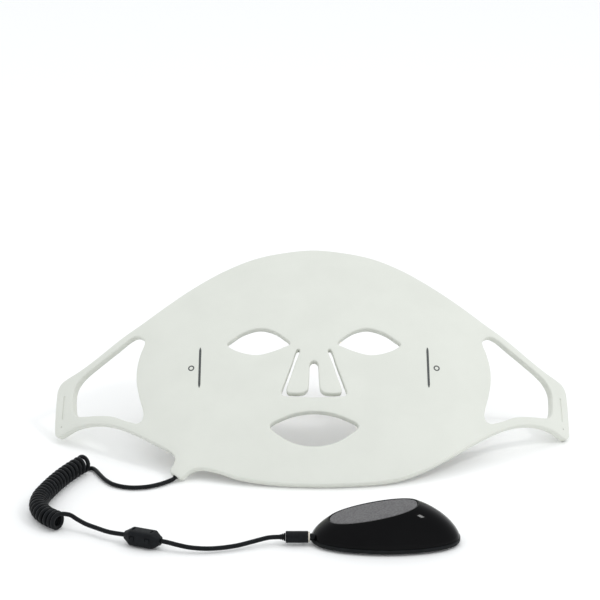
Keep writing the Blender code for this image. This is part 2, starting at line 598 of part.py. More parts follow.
upper = combine(dome(0, SPLIT, DOME, 0), above_slope(0), "DIFFERENCE")
hollow = combine(dome(SHELL, SPLIT - 0.0004, DOME - SHELL, ROOF), above_slope(ROOF), "DIFFERENCE")
upper = combine(upper, hollow, "DIFFERENCE")
well = combine(facet(WELL_INSET), above_slope(RECESS), "INTERSECT")
upper = combine(upper, well, "DIFFERENCE")
upper = combine(upper, rod((PAD_X, 0, 0.010), (PAD_X, 0, 0.030), PLUNGER_HOLE), "DIFFERENCE")
SCREWS = [(x, y) for x in (-SCREW_X, SCREW_X) for y in (-SCREW_Y, SCREW_Y)]
for x, y in SCREWS:
    boss_top = 0.0120 if x < 0 else 0.0135
    upper = combine(upper, rod((x, y, SPLIT + GAP), (x, y, boss_top), SCREW_BOSS), "UNION")
    upper = combine(upper, rod((x, y, 0.0), (x, y, 0.0092), SCREW_HOLE, sides=12), "DIFFERENCE")
port = rod((-0.06, SOCKET_Y, SOCKET_Z), (PORT_END, SOCKET_Y, SOCKET_Z), PORT_R)
upper = combine(upper, port.copy(), "DIFFERENCE")

lower = combine(plan(0, BASE, SPLIT - GAP), plan(SIDE_THICK, BASE + FLOOR_THICK, 0.02), "DIFFERENCE")
lower = combine(lower, port, "DIFFERENCE")
for x, y in SCREWS:
    lower = combine(lower, rod((x, y, 0.0), (x, y, 0.010), SCREW_HOLE, sides=12), "DIFFERENCE")
    lower = combine(lower, rod((x, y, 0.0), (x, y, BASE + 0.0009), SCREW_SEAT), "DIFFERENCE")

pad = combine(facet(PAD_INSET), above_slope(PAD_THICK), "INTERSECT")
pad = combine(pad, above_slope(0), "DIFFERENCE")
stem = rod((PAD_X, 0, 0.0146), (PAD_X, 0, PAD_HIGH - PAD_THICK / 2), PAD_STEM, sides=16)
pad = combine(pad, stem, "UNION")


def in_controller(name, mesh, mat):
    """A piece modelled round the controller's centre on the floor."""
    obj = as_object(name, mesh, mat)
    obj.location = CHIN + PEBBLE
    return obj


in_controller("controller_upper_shell", upper, gloss_black)
in_controller("controller_lower_shell", lower, satin_black)
in_controller("press_pad", pad, material("matt_grey_pad", (0.155, 0.150, 0.150), 0.62))

for label, (x, y) in zip(("near_plug_front", "near_plug_rear", "far_front", "far_rear"), SCREWS):
    screw = combine(rod((x, y, BASE + 0.0001), (x, y, BASE + 0.0006), 0.0020),
                    rod((x, y, BASE + 0.0003), (x, y, 0.0086), 0.0010, sides=12), "UNION")
    in_controller(f"screw_{label}", screw, material(f"screw_{label}", (0.45, 0.45, 0.46), 0.3, 1.0))
    foot_x, foot_y = x * 0.76, y * 1.30
    foot = rod((foot_x, foot_y, 0.0), (foot_x, foot_y, BASE - GAP), 0.0030, 0.0034)
    in_controller(f"foot_{label}", foot, material(f"foot_{label}", (0.03, 0.03, 0.03), 0.8))

in_controller("battery_cell", box((-0.0190, -0.0125, 0.0031), (0.0210, 0.0125, 0.0083)),
              material("battery_film", (0.30, 0.33, 0.38), 0.35, 0.4))
in_controller("circuit_board", box((-0.0230, -0.0130, 0.0088), (0.0230, 0.0130, 0.0098)),
              material("green_laminate", (0.02, 0.18, 0.07), 0.5))
switch = combine(box((PAD_X - 0.003, -0.003, 0.0101), (PAD_X + 0.003, 0.003, 0.0132)),
                 rod((PAD_X, 0, 0.0120), (PAD_X, 0, 0.020), 0.0016, sides=16), "DIFFERENCE")
in_controller("tact_switch", switch, material("switch_housing", (0.03, 0.03, 0.03), 0.5))
in_controller("switch_plunger", rod((PAD_X, 0, 0.0129), (PAD_X, 0, 0.0143), 0.0013, sides=16),
              material("switch_plunger", (0.55, 0.50, 0.40), 0.4))

socket = box((SOCKET_LONG[0], SOCKET_Y - SOCKET_HALF, SOCKET_Z - 0.0021),
             (SOCKET_LONG[1], SOCKET_Y + SOCKET_HALF, SOCKET_Z + 0.0025))
bore = rod((-0.0450, SOCKET_Y, SOCKET_Z), (-0.0330, SOCKET_Y, SOCKET_Z), 0.0021)
socket = combine(socket, bore, "DIFFERENCE")
pin = rod((-0.0385, SOCKET_Y, SOCKET_Z), (-0.0325, SOCKET_Y, SOCKET_Z), 0.0006, sides=12)
socket = combine(socket, pin, "UNION")
in_controller("power_socket", socket, material("socket_housing", (0.02, 0.02, 0.02), 0.5))

# ---- round pieces are shaded smooth ---------------------------------------------------
for obj in parts.objects:
    if obj.type == "MESH":
        obj.data.shade_smooth()
        obj.data.set_sharp_from_angle(angle=math.radians(35))
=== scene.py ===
"""Looks of the LED face mask: white silicone skin, lamps behind a clear rear cover, curly lead,
clip-on ferrite, plug and gloss controller.  The mask is drawn flat in (u, v, w): u across the
face, v up it, w out of its front.  sheet() bends that flat drawing onto the leaning mask.
"""
import math

import bmesh
import bpy
import numpy as np
from mathutils import Matrix, Vector
from mathutils.geometry import delaunay_2d_cdt


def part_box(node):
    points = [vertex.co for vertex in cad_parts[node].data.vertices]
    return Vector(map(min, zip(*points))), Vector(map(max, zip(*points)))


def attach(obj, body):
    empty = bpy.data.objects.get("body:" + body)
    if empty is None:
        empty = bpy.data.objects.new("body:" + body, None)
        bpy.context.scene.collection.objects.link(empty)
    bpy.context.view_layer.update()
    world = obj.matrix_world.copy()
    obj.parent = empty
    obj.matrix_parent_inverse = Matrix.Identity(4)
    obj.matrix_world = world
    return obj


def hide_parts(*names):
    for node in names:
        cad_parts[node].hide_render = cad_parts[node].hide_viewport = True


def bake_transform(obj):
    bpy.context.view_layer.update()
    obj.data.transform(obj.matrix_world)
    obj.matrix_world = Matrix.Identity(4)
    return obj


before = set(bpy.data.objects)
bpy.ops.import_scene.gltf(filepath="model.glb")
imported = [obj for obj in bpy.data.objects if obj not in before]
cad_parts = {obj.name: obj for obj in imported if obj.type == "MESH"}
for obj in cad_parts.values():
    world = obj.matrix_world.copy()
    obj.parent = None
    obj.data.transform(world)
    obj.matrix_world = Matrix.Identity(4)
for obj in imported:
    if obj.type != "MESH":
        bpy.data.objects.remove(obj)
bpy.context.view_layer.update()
MM = 0.001

# ---- camera ------------------------------------------------------------------------------
# A long lens a little over a metre in front, looking down at the mask from above.
camera = bpy.data.objects.new("camera", bpy.data.cameras.new("camera"))
bpy.context.scene.collection.objects.link(camera)
camera.data.lens = 120
camera.data.sensor_width = 36
camera.location = (-0.0086, -1.2448, 0.5284)
camera.rotation_euler = (math.radians(90 - 18), 0, 0)
bpy.context.scene.camera = camera


# ---- lead --------------------------------------------------------------------------------
# A thin two-core PVC lead, 2.9 mm across: straight out of the mask's nub, then wound and heat
# set into a springy curl, then straight through the ferrite to the plug.
def through(points, step, closed=False):
    """Smooth curve through points: a centripetal Catmull-Rom spline, so each span is a cubic
    whose end speeds come from the square roots of its own and its neighbours' chords.  It is
    sampled about every step."""
    p = np.asarray(points, float)
    before, after = (p[-1:], p[:2]) if closed else (2 * p[:1] - p[1:2], 2 * p[-1:] - p[-2:-1])
    p = np.concatenate([before, p, after])
    a, b, c, d = p[:-3], p[1:-2], p[2:-1], p[3:]
    k0, k1, k2 = (np.sqrt(np.linalg.norm(y - x, axis=1))[:, None] for x, y in ((a, b), (b, c), (c, d)))
    out = ((b - a) / k0 - (c - a) / (k0 + k1) + (c - b) / k1) * k1
    back = ((c - b) / k1 - (d - b) / (k1 + k2) + (d - c) / k2) * k1
    count = np.maximum(1, np.round(np.linalg.norm(c - b, axis=1) / step).astype(int))
    span = np.repeat(np.arange(len(b)), count)
    t = ((np.arange(len(span)) - np.repeat(np.cumsum(count) - count, count)) / count[span])[:, None]
    found = ((2 * t**3 - 3 * t**2 + 1) * b[span] + (t**3 - 2 * t**2 + t) * out[span]
             + (3 * t**2 - 2 * t**3) * c[span] + (t**3 - t**2) * back[span])
    return found if closed else np.concatenate([found, p[-2:-1]])


def helix(route, radius, turns, closing):
    """Helix round a level route: route(s) + radius (side sin a - up cos a), where a grows evenly
    and s slows from (1 + closing) to (1 - closing) times its mean, so the turns draw together."""
    line = through(route, 0.0005)
    along = np.concatenate([[0], np.cumsum(np.linalg.norm(np.diff(line, axis=0), axis=1))])
    t = np.linspace(0, 1, round(turns * 14) + 1)
    place = along[-1] * (t * (1 + closing) - closing * t**2)
    centre = np.stack([np.interp(place, along, line[:, k]) for k in range(3)], 1)
    ahead = np.gradient(centre, axis=0)
    side = np.stack([ahead[:, 1], -ahead[:, 0], 0 * t], 1)
    side /= np.linalg.norm(side, axis=1)[:, None]
    angle = 2 * np.pi * turns * t[:, None]
    return centre + radius * (side * np.sin(angle) - np.array([0, 0, 1]) * np.cos(angle))


CHIN = np.array([0.0010, -0.0252, 0.0])   # floor point under the chin's front edge
CORD, COIL = 0.0029, 0.0125               # lead's diameter, and the curl's outside
LEAD_ROUTE = [(-0.0932, 0.0143, 0.0027), (-0.0940, 0.0136, 0.0021), (-0.0966, 0.0113, 0.0017),
              (-0.1030, 0.0058, 0.0016), (-0.1121, 0.0012, 0.0016), (-0.1230, 0.0006, 0.0016),
              (-0.1330, 0.0052, 0.0016), (-0.1400, 0.0140, 0.0016), (-0.1445, 0.0230, 0.0016),
              (-0.1478, 0.0300, 0.0016), (-0.1506, 0.0332, 0.0016)]
COIL_ROUTE = [(-0.1546, 0.0320, 0.0064), (-0.1610, 0.0205, 0.0064), (-0.1672, 0.0068, 0.0064),
              (-0.1730, -0.0100, 0.0064), (-0.1776, -0.0300, 0.0064), (-0.1762, -0.0448, 0.0064),
              (-0.1700, -0.0560, 0.0064), (-0.1615, -0.0640, 0.0064)]
TAIL_ROUTE = [(-0.1588, -0.0646, 0.0112), (-0.1548, -0.0628, 0.0102), (-0.1502, -0.0640, 0.0078),
              (-0.1445, -0.0672, 0.0060), (-0.1372, -0.0716, 0.0052), (-0.1290, -0.0776, 0.0052),
              (-0.1221, -0.0810, 0.0055), (-0.1193, -0.0821, 0.0056), (-0.1068, -0.0872, 0.0056),
              (-0.0943, -0.0923, 0.0056), (-0.0915, -0.0934, 0.0055), (-0.0848, -0.0957, 0.0047),
              (-0.0770, -0.0970, 0.0036), (-0.0650, -0.0968, 0.0028), (-0.0500, -0.0933, 0.0029),
              (-0.0385, -0.0888, 0.0039), (-0.0330, -0.0866, 0.0045), (-0.0283, -0.0851, 0.0049),
              (-0.0218, -0.0845, 0.0050)]
curl = helix(COIL_ROUTE, (COIL - CORD) / 2, 25.5, 0.17)
lead_line = through(np.concatenate([LEAD_ROUTE, curl, TAIL_ROUTE[1:]]), 0.0013) + CHIN
lead_curve = bpy.data.curves.new("lead", "CURVE")
lead_curve.dimensions = "3D"
lead_curve.bevel_depth = CORD / 2
lead_curve.bevel_resolution = 4
lead_curve.use_fill_caps = True
lead_spline = lead_curve.splines.new("POLY")
lead_spline.points.add(len(lead_line) - 1)
lead_spline.points.foreach_set("co", np.pad(lead_line, ((0, 0), (0, 1)), constant_values=1).ravel())
lead_spline.use_smooth = True
lead = bpy.data.objects.new("lead", lead_curve)
bpy.context.scene.collection.objects.link(lead)


def linear(code):
    """Linear red, green, blue and alpha of an sRGB hex colour."""
    part = np.array([int(code[i:i + 2], 16) for i in (1, 3, 5)]) / 255
    return (*np.where(part <= 0.04045, part / 12.92, ((part + 0.055) / 1.055)**2.4), 1.0)


def finish_of(name, roughness, ior=1.5, **sockets):
    """New material with a Principled shader; returns the material and its shader node."""
    mat = bpy.data.materials.new(name)
    mat.use_nodes = True
    shader = mat.node_tree.nodes["Principled BSDF"]
    shader.inputs["Roughness"].default_value = roughness
    shader.inputs["IOR"].default_value = ior
    for socket, value in sockets.items():
        shader.inputs[socket.replace("_", " ")].default_value = value
    return mat, shader


def add_node(mat, kind, links=(), **settings):
    """Add a node; settings name its properties or its input sockets, links are (socket, source)."""
    node = mat.node_tree.nodes.new(kind)
    for key, value in settings.items():
        if hasattr(node, key):
            setattr(node, key, value)
        else:
            node.inputs[key.replace("_", " ")].default_value = value
    for socket, source in links:
        mat.node_tree.links.new(source, node.inputs[socket])
    return node


def grain(mat, spacing, detail=2.0, stretch=(1, 1, 1)):
    """Noise on object coordinates whose lumps are about spacing apart; returns its output."""
    where = add_node(mat, "ShaderNodeTexCoord")
    sized = add_node(mat, "ShaderNodeMapping", [("Vector", where.outputs["Object"])], Scale=stretch)
    noise = add_node(mat, "ShaderNodeTexNoise", [("Vector", sized.outputs[0])],
                     Scale=1 / spacing, Detail=detail, Roughness=0.55)
    return noise.outputs[0]


def two_tone(mat, shader, source, dark, light, low=0.35, high=0.65):
    """Base colour that runs between two hex colours as the source goes from low to high."""
    ramp = add_node(mat, "ShaderNodeValToRGB", [("Fac", source)])
    ramp.color_ramp.elements[0].position, ramp.color_ramp.elements[0].color = low, linear(dark)
    ramp.color_ramp.elements[1].position, ramp.color_ramp.elements[1].color = high, linear(light)
    mat.node_tree.links.new(ramp.outputs[0], shader.inputs["Base Color"])


def bumped(mat, shader, source, depth, below=None):
    """Bump of a real depth from a source, on top of another bump if one is given."""
    links = [("Height", source)] + ([("Normal", below)] if below else [])
    bump = add_node(mat, "ShaderNodeBump", links, Strength=1.0, Distance=depth)
    mat.node_tree.links.new(bump.outputs[0], shader.inputs["Normal"])
    return bump.outputs[0]


def rougher(mat, shader, source, low, high):
    """Roughness that runs between two values with the source."""
    span = add_node(mat, "ShaderNodeMapRange", [("Value", source)], To_Min=low, To_Max=high)
    mat.node_tree.links.new(span.outputs[0], shader.inputs["Roughness"])


# Extruded soft PVC: satin, with faint lumps every few millimetres from the extruder.
lead_pvc, shader = finish_of("extruded_pvc", 0.36, 1.53, Specular_IOR_Level=0.12)
two_tone(lead_pvc, shader, grain(lead_pvc, 0.004), "#080a0c", "#101316")
rougher(lead_pvc, shader, grain(lead_pvc, 0.0011), 0.30, 0.44)
bumped(lead_pvc, shader, grain(lead_pvc, 0.0016), 0.00004)
lead_curve.materials.append(lead_pvc)
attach(lead, "mask")
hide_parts("lead_cord", "curly_cord", "tail_cord")


# ---- mask skin ---------------------------------------------------------------------------
# One compression-moulded sheet of white silicone, 5 mm thick, with softly rounded edges.  It is
# open at the eyes, nose and mouth, and its wings are loops for a head strap.
LEAN = math.radians(52)
BEND, CURL_LEFT, CURL_RIGHT = 1.504, 72.6, 82.9
THICK, SKIN, RIM, REAR = 0.0050, 0.0016, 0.0026, 0.0014
UP = np.array([0.0, math.sin(LEAN), math.cos(LEAN)])
BEHIND = np.array([0.0, math.cos(LEAN), -math.sin(LEAN)])
U_TABLE = np.linspace(-0.22, 0.22, 2201)


def slope(u):
    """Angle of the sheet at u: BEND u + CURL u^3, with its own CURL on each side."""
    return BEND * u + np.where(u < 0, CURL_LEFT, CURL_RIGHT) * u**3


def from_middle(rate):
    """Running sum of a rate over U_TABLE, zero at u = 0."""
    total = np.cumsum(rate) * (U_TABLE[1] - U_TABLE[0])
    return total - np.interp(0, U_TABLE, total)


ACROSS, BACKWARD = from_middle(np.cos(slope(U_TABLE))), from_middle(np.sin(slope(U_TABLE)))


def sheet(flat):
    """Place of flat points (u, v, w): along X by the sum of cos(slope) plus w sin(slope), up the
    lean by v, and behind by the sum of sin(slope) less w cos(slope)."""
    u, v, w = np.atleast_2d(np.asarray(flat, float)).T
    across = np.interp(u, U_TABLE, ACROSS) + w * np.sin(slope(u))
    backward = np.interp(u, U_TABLE, BACKWARD) - w * np.cos(slope(u))
    place = np.outer(across, (1, 0, 0)) + np.outer(v, UP) + np.outer(backward, BEHIND)
    return place + CHIN + (0, 0, THICK * math.sin(LEAN))


def grown(loop, distance):
    """Closed loop moved outwards by a distance along its normals, mitred at its corners."""
    ahead, behind = np.roll(loop, -1, 0), np.roll(loop, 1, 0)
    turn = np.sign(np.sum(loop[:, 0] * ahead[:, 1] - loop[:, 1] * ahead[:, 0]))
    into = (loop - behind) / np.linalg.norm(loop - behind, axis=1)[:, None]
    out = (ahead - loop) / np.linalg.norm(ahead - loop, axis=1)[:, None]
    side = (into + out) / np.linalg.norm(into + out, axis=1)[:, None]
    normal = np.stack([side[:, 1], -side[:, 0]], 1) * turn
    return loop + normal * (distance / np.clip(np.sum(side * out, 1), 0.6, 1))[:, None]


def within(points, loops):
    """Whether flat points are inside an odd number of loops, by counting crossings to the right."""
    odd = np.zeros(len(points), bool)
    for loop in loops:
        x, y = loop.T
        nx, ny = np.roll(x, -1), np.roll(y, -1)
        px, py = points[:, :1], points[:, 1:]
        crosses = (y > py) != (ny > py)
        at = x + (py - y) * (nx - x) / np.where(ny == y, 1, ny - y)
        odd ^= np.sum(crosses & (at > px), 1) % 2 == 1
    return odd


def carried(loop, profile, side):
    """Wall from a profile of (inset, level) pairs carried round a loop.  side is -1 where the
    material lies inside the loop and 1 where the loop is a hole in it."""
    rings = [np.column_stack([grown(loop, side * inset), np.full(len(loop), level)])
             for inset, level in profile]
    count = len(loop)
    i, j = np.meshgrid(np.arange(len(rings) - 1), np.arange(count), indexing="ij")
    a, b = (i * count + j).ravel(), (i * count + (j + 1) % count).ravel()
    return np.concatenate(rings), np.stack([a, b, b + count, a + count], 1).tolist()


def filled(loops, level, spacing):
    """Flat face at a level wherever a point is inside an odd number of the loops: Delaunay
    triangles through the loops' points and an even grid between them."""
    edge = np.concatenate(loops)
    low, high = edge.min(0), edge.max(0)
    gx, gy = np.meshgrid(np.arange(low[0], high[0], spacing), np.arange(low[1], high[1], spacing))
    grid = np.stack([gx.ravel(), gy.ravel()], 1)
    grid = grid[within(grid, loops)]
    near = np.min(np.linalg.norm(grid[:, None] - edge[None, ::2], axis=2), axis=1)
    points = np.concatenate([edge, grid[near > 0.5 * spacing]])
    first = np.cumsum([0] + [len(loop) for loop in loops])
    ties = np.concatenate([np.stack([np.arange(n), np.roll(np.arange(n), -1)], 1) + at
                           for at, n in zip(first, np.diff(first))])
    flat, _, faces, *_ = delaunay_2d_cdt((points / MM).tolist(), ties.tolist(), [], 0, 1e-5)
    flat, faces = np.array(flat) * MM, np.array(faces)
    faces = faces[within(flat[faces].mean(1), loops)]
    return np.column_stack([flat, np.full(len(flat), level)]), faces.tolist()


def joined(patches, dist=1e-6):
    """One closed bmesh from patches of (points, faces), welded, with its faces turned outwards."""
    bm = bmesh.new()
    mesh = bpy.data.meshes.new("patch")
    for points, faces in patches:
        mesh.clear_geometry()
        mesh.from_pydata(points.tolist(), [], faces)
        bm.from_mesh(mesh)
    bpy.data.meshes.remove(mesh)
    bmesh.ops.remove_doubles(bm, verts=bm.verts, dist=dist)
    bmesh.ops.delete(bm, geom=[v for v in bm.verts if not v.link_faces], context="VERTS")
    bmesh.ops.recalc_face_normals(bm, faces=bm.faces)
    if bm.calc_volume(signed=True) < 0:
        bmesh.ops.reverse_faces(bm, faces=bm.faces)
    return bm


def points_of(mesh):
    """A mesh's or bmesh's points as one array."""
    return np.array([v.co for v in (mesh.verts if hasattr(mesh, "verts") else mesh.vertices)])


def as_piece(name, bm, mat, place=None, sharp=35):
    """Make a bmesh a piece at the origin, its points first moved by place, and shade it smooth
    but for edges sharper than an angle."""
    mesh = bpy.data.meshes.new(name)
    bm.to_mesh(mesh)
    bm.free()
    if place:
        mesh.vertices.foreach_set("co", place(points_of(mesh)).astype(np.float32).ravel())
    mesh.materials.append(mat)
    mesh.shade_smooth()
    mesh.set_sharp_from_angle(angle=math.radians(sharp))
    obj = bpy.data.objects.new(name, mesh)
    bpy.context.scene.collection.objects.link(obj)
    return obj


def edge_round(front, back, steps=4):
    """Profile of an edge of the sheet, front to back: a quarter circle, a wall, a quarter circle."""
    a = np.linspace(0, np.pi / 2, steps + 1)
    fore = np.stack([front * (1 - np.sin(a)), -front * (1 - np.cos(a))], 1)
    aft = np.stack([back * (1 - np.cos(a)), -THICK + back * (1 - np.sin(a))], 1)
    return np.concatenate([fore, aft])


def mirrored(points):
    """The same points on the other side, in the reverse order."""
    return [(-u, v) for u, v in reversed(points)]


BROW_TO_TIP = [(18.6, 188.5), (40.3, 184.0), (62.3, 174.9), (85.4, 161.7), (104.7, 149.0),
               (122.5, 137.1), (135.3, 129.9), (158.9, 116.6), (172.8, 111.6), (183.0, 110.0),
               (190.2, 108.7), (194.4, 104.8), (195.4, 96.5), (195.2, 82.0), (194.6, 72.5),
               (193.6, 67.2), (190.6, 64.4), (185.5, 64.2), (176.0, 65.4), (163.5, 64.6),
               (151.8, 61.9), (139.5, 57.2), (126.9, 50.1), (112.8, 40.6), (97.5, 29.4)]
JAW = [(81.4, 18.3), (72.2, 12.9), (61.0, 7.6), (47.4, 3.6), (24.0, 0.8)]
NUB = [(96.0, 28.4), (94.2, 24.4), (94.9, 20.3), (97.3, 15.8), (96.9, 13.9), (90.4, 9.2),
       (88.3, 9.3), (84.3, 13.3), (77.5, 15.4), (64.3, 12.1), (52.0, 7.0), (29.7, 2.2)]
LOOP = [(119.9, 121.5), (122.6, 125.6), (126.5, 127.4), (131.0, 126.3), (142.2, 119.4),
        (154.6, 112.8), (167.0, 106.9), (172.4, 103.5), (175.9, 99.6), (177.5, 95.0), (177.2, 86.0),
        (175.6, 78.5), (172.2, 74.6), (164.5, 71.8), (156.6, 69.9), (146.9, 67.3), (140.4, 64.8),
        (132.6, 60.3), (126.5, 57.4), (122.6, 56.0), (119.3, 57.3), (118.2, 62.0), (122.2, 77.7),
        (124.2, 87.0), (124.9, 95.2), (124.5, 103.0), (122.6, 112.1)]
LAMP_FIELD = [(18, 184.9), (39, 180.5), (60.5, 171.5), (83.2, 158.5), (99, 147.6), (108, 140.3),
              (113.5, 132), (115.8, 122), (119.0, 110), (121.0, 95), (118.8, 79), (115.0, 65),
              (111.5, 54), (105.5, 44.2), (95, 33.5), (80, 22.5), (70.5, 17.0), (59.6, 11.8),
              (46.2, 7.6), (22, 4.4)]
EYE = [(16.4, 111.0), (21.5, 116.9), (28.5, 121.8), (37.6, 124.2), (49.0, 121.0), (56.8, 115.6),
       (60.4, 112.2), (56.6, 108.2), (48.0, 104.2), (38.6, 102.6), (27.5, 105.4), (20.8, 108.4)]
MOUTH = [(29.9, 45.4), (20.8, 51.7), (10.6, 55.3), (0, 56.5), (-10.6, 55.3), (-20.8, 51.7),
         (-29.9, 45.4), (-20.8, 36.0), (-10.6, 30.8), (0, 29.3), (10.6, 30.8), (20.8, 36.0)]
SLOT = [(1.7, 96.2), (2.7, 94.6), (3.2, 86.0), (3.9, 76.0), (4.7, 73.5), (6.6, 71.7), (9.6, 70.9)]
TONGUE = [(15.0, 70.9), (17.6, 71.4), (18.9, 73.2), (18.6, 75.6), (15.6, 85.6), (13.0, 94.6)]
SLIT = [(9.8, 104.6), (9.9, 105.9), (11.0, 106.4), (12.0, 105.4), (15.1, 95.0), (21.4, 75.0),
        (22.3, 71.6), (21.2, 69.2), (18.6, 68.5), (9.0, 67.9)]
NOSE_WALL = [(6.5, 106.6), (10.5, 109.0), (14.4, 107.2), (17.9, 96.0), (24.2, 75.5), (25.2, 71.0),
             (23.0, 66.8), (18.5, 65.4), (9.0, 65.0)]
FLAP_ROOT = 0.0940
half_nose = SLOT + TONGUE + SLIT


def outline(points, step=1.5):
    """Smooth closed loop in metres through points given in millimetres."""
    return through(np.array(points, float), step, closed=True) * MM


outer = outline([(0, 190.2)] + BROW_TO_TIP + JAW + [(0, 0)]
                + [(-u, v) for u, v in (BROW_TO_TIP[:-1] + NUB)[::-1]])
strap_holes = [outline(LOOP), outline(mirrored(LOOP))]
eyes = [outline(EYE, 1.2), outline(mirrored(EYE), 1.2)]
mouth = outline(MOUTH, 1.3)
nose = outline([(0, 97.0)] + half_nose + [(0, 67.6)] + mirrored(half_nose), 0.8)
lamp_field = outline([(0, 186.6)] + LAMP_FIELD + [(0, 4.2)] + mirrored(LAMP_FIELD), 2.5)
nose_wall = outline([(0, 104.5)] + NOSE_WALL + [(0, 64.8)] + mirrored(NOSE_WALL), 2)
walls = [grown(hole, RIM) for hole in (*eyes, mouth)] + [nose_wall]
openings = [*strap_holes, *eyes, mouth, nose]

# The end bar of each wing has a shallow strap groove, and a small dot left by the mould's pin.
GROOVE_HALF, GROOVE_REACH, GROOVE_DEEP, DOT_R = 0.0009, 0.0086, 0.0006, 0.0006
GROOVE_AT, DOT_AT = np.array([0.1862, 0.0865]), np.array([0.1868, 0.0710])
turn = np.linspace(0, 2 * np.pi, 33)[:-1]
stadium = np.stack([GROOVE_HALF * np.cos(turn),
                    GROOVE_HALF * np.sin(turn) + GROOVE_REACH * np.sign(np.sin(turn))], 1)
round_dot = np.stack([DOT_R * np.cos(turn[::2]), DOT_R * np.sin(turn[::2])], 1)
grooves = [stadium + GROOVE_AT * (side, 1) for side in (-1, 1)]
dots = [round_dot + DOT_AT * (side, 1) for side in (-1, 1)]
FRONT_R, BACK_R, LIP = 0.0010, 0.0006, 0.0003
skin_edge = edge_round(FRONT_R, BACK_R)
pocket_edge = [(0, -SKIN), (0, -THICK + LIP), (0.3 * LIP, -THICK + 0.3 * LIP), (LIP, -THICK)]
groove_edge = [(LIP, 0), (0.3 * LIP, -0.3 * LIP), (0, -LIP), (0, -GROOVE_DEEP)]

patches = [carried(outer, skin_edge, -1)] + [carried(hole, skin_edge, 1) for hole in openings]
patches += [carried(lamp_field, pocket_edge, 1)] + [carried(wall, pocket_edge, -1) for wall in walls]
patches += [carried(mark, groove_edge, 1) for mark in grooves + dots]
patches += [filled([mark], -GROOVE_DEEP, 0.005) for mark in grooves + dots]
patches.append(filled([grown(outer, -FRONT_R)] + [grown(hole, FRONT_R) for hole in openings]
                      + [grown(mark, LIP) for mark in grooves + dots], 0.0, 0.004))
patches.append(filled([grown(outer, -BACK_R)] + [grown(hole, BACK_R) for hole in openings]
                      + [grown(lamp_field, LIP)] + [grown(wall, -LIP) for wall in walls], -THICK, 0.004))
patches.append(filled([lamp_field, *walls], -SKIN, 0.006))
skin = joined(patches)

SEAM = 0.1260         # where the wings' own pieces begin, across their narrow arms
ROOTS_WITHIN = 0.016  # distance from the middle within which the flaps' roots are cut
cuts = (((SEAM, 0, 0), (1, 0, 0)), ((-SEAM, 0, 0), (1, 0, 0)), ((0, FLAP_ROOT, 0), (0, 1, 0)))
for at, normal in cuts:
    part = [f for f in skin.faces if normal[0] or abs(f.calc_center_median().x) < ROOTS_WITHIN]
    part = set(part) | {e for f in part for e in f.edges} | {v for f in part for v in f.verts}
    bmesh.ops.bisect_plane(skin, geom=list(part), dist=1e-6, plane_co=at, plane_no=normal)
skin_mesh = bpy.data.meshes.new("skin")
skin.to_mesh(skin_mesh)
skin.free()

NUB_MOUTH, NUB_INNER = np.array([-0.0930, 0.0119, -0.0018]), np.array([-0.0800, 0.0285, -0.0020])
nub_axis = (NUB_INNER - NUB_MOUTH) / np.linalg.norm(NUB_INNER - NUB_MOUTH)


def relaxed(flat):
    """Flat points with the moulding's unevenness: the sheet's two faces swell together over the
    lead by a bell curve of the distance from it, and the whole sheet rolls by a few slow sines."""
    u, v, w = flat.T
    along = (u - NUB_MOUTH[0]) * nub_axis[0] + (v - NUB_MOUTH[1]) * nub_axis[1]
    away = (u - NUB_MOUTH[0]) * nub_axis[1] - (v - NUB_MOUTH[1]) * nub_axis[0]
    fade = np.clip((0.020 - along) / 0.012, 0, 1)
    swell = 0.0011 * np.exp(-(away / 0.0026)**2) * fade**2 * (3 - 2 * fade)
    depth = np.clip(-w / THICK, 0, 1)
    roll = 0.00012 * (np.sin(u / 0.019 + v / 0.031) + np.sin(u / 0.013 - v / 0.017 + 1.3))
    roll *= np.clip((SEAM - np.abs(u)) / 0.02, 0, 1)
    return np.stack([u, v, w + roll + swell * (1 - 1.6 * depth)], 1)


def bent(flat):
    """Uneven flat points on the bent sheet."""
    return sheet(relaxed(flat))


centres = np.zeros(len(skin_mesh.polygons) * 3, np.float32)
skin_mesh.polygons.foreach_get("center", centres)
centres = centres.reshape(-1, 3)
tongue = np.array(SLOT[1:] + TONGUE) * MM
in_tongue = [within(centres[:, :2], [grown(tongue * (side, 1), 0.0011)]) & (centres[:, 1] < FLAP_ROOT)
             for side in (-1, 1)]
shares = {"left_strap_loop": centres[:, 0] < -SEAM, "right_strap_loop": centres[:, 0] > SEAM,
          "left_nose_flap_skin": in_tongue[0], "right_nose_flap_skin": in_tongue[1]}
shares["face_cover"] = ~np.any(list(shares.values()), axis=0)

# Platinum-cured silicone, moulded against a sand-blasted steel tool: dead matt and slightly
# cloudy.  Its blasted grain, about 0.4 mm across, is drawn at 0.8 mm so that it shows.
silicone, shader = finish_of("moulded_white_silicone", 0.62, 1.41,
                             Sheen_Weight=0.08, Sheen_Roughness=0.5)
two_tone(silicone, shader, grain(silicone, 0.030, 3), "#d5d7cf", "#d8dad2", 0.35, 0.65)
rougher(silicone, shader, grain(silicone, 0.012), 0.56, 0.70)
rolled = bumped(silicone, shader, grain(silicone, 0.009, 1), 0.00006)
bumped(silicone, shader, grain(silicone, 0.0008, 2), 0.00005, rolled)

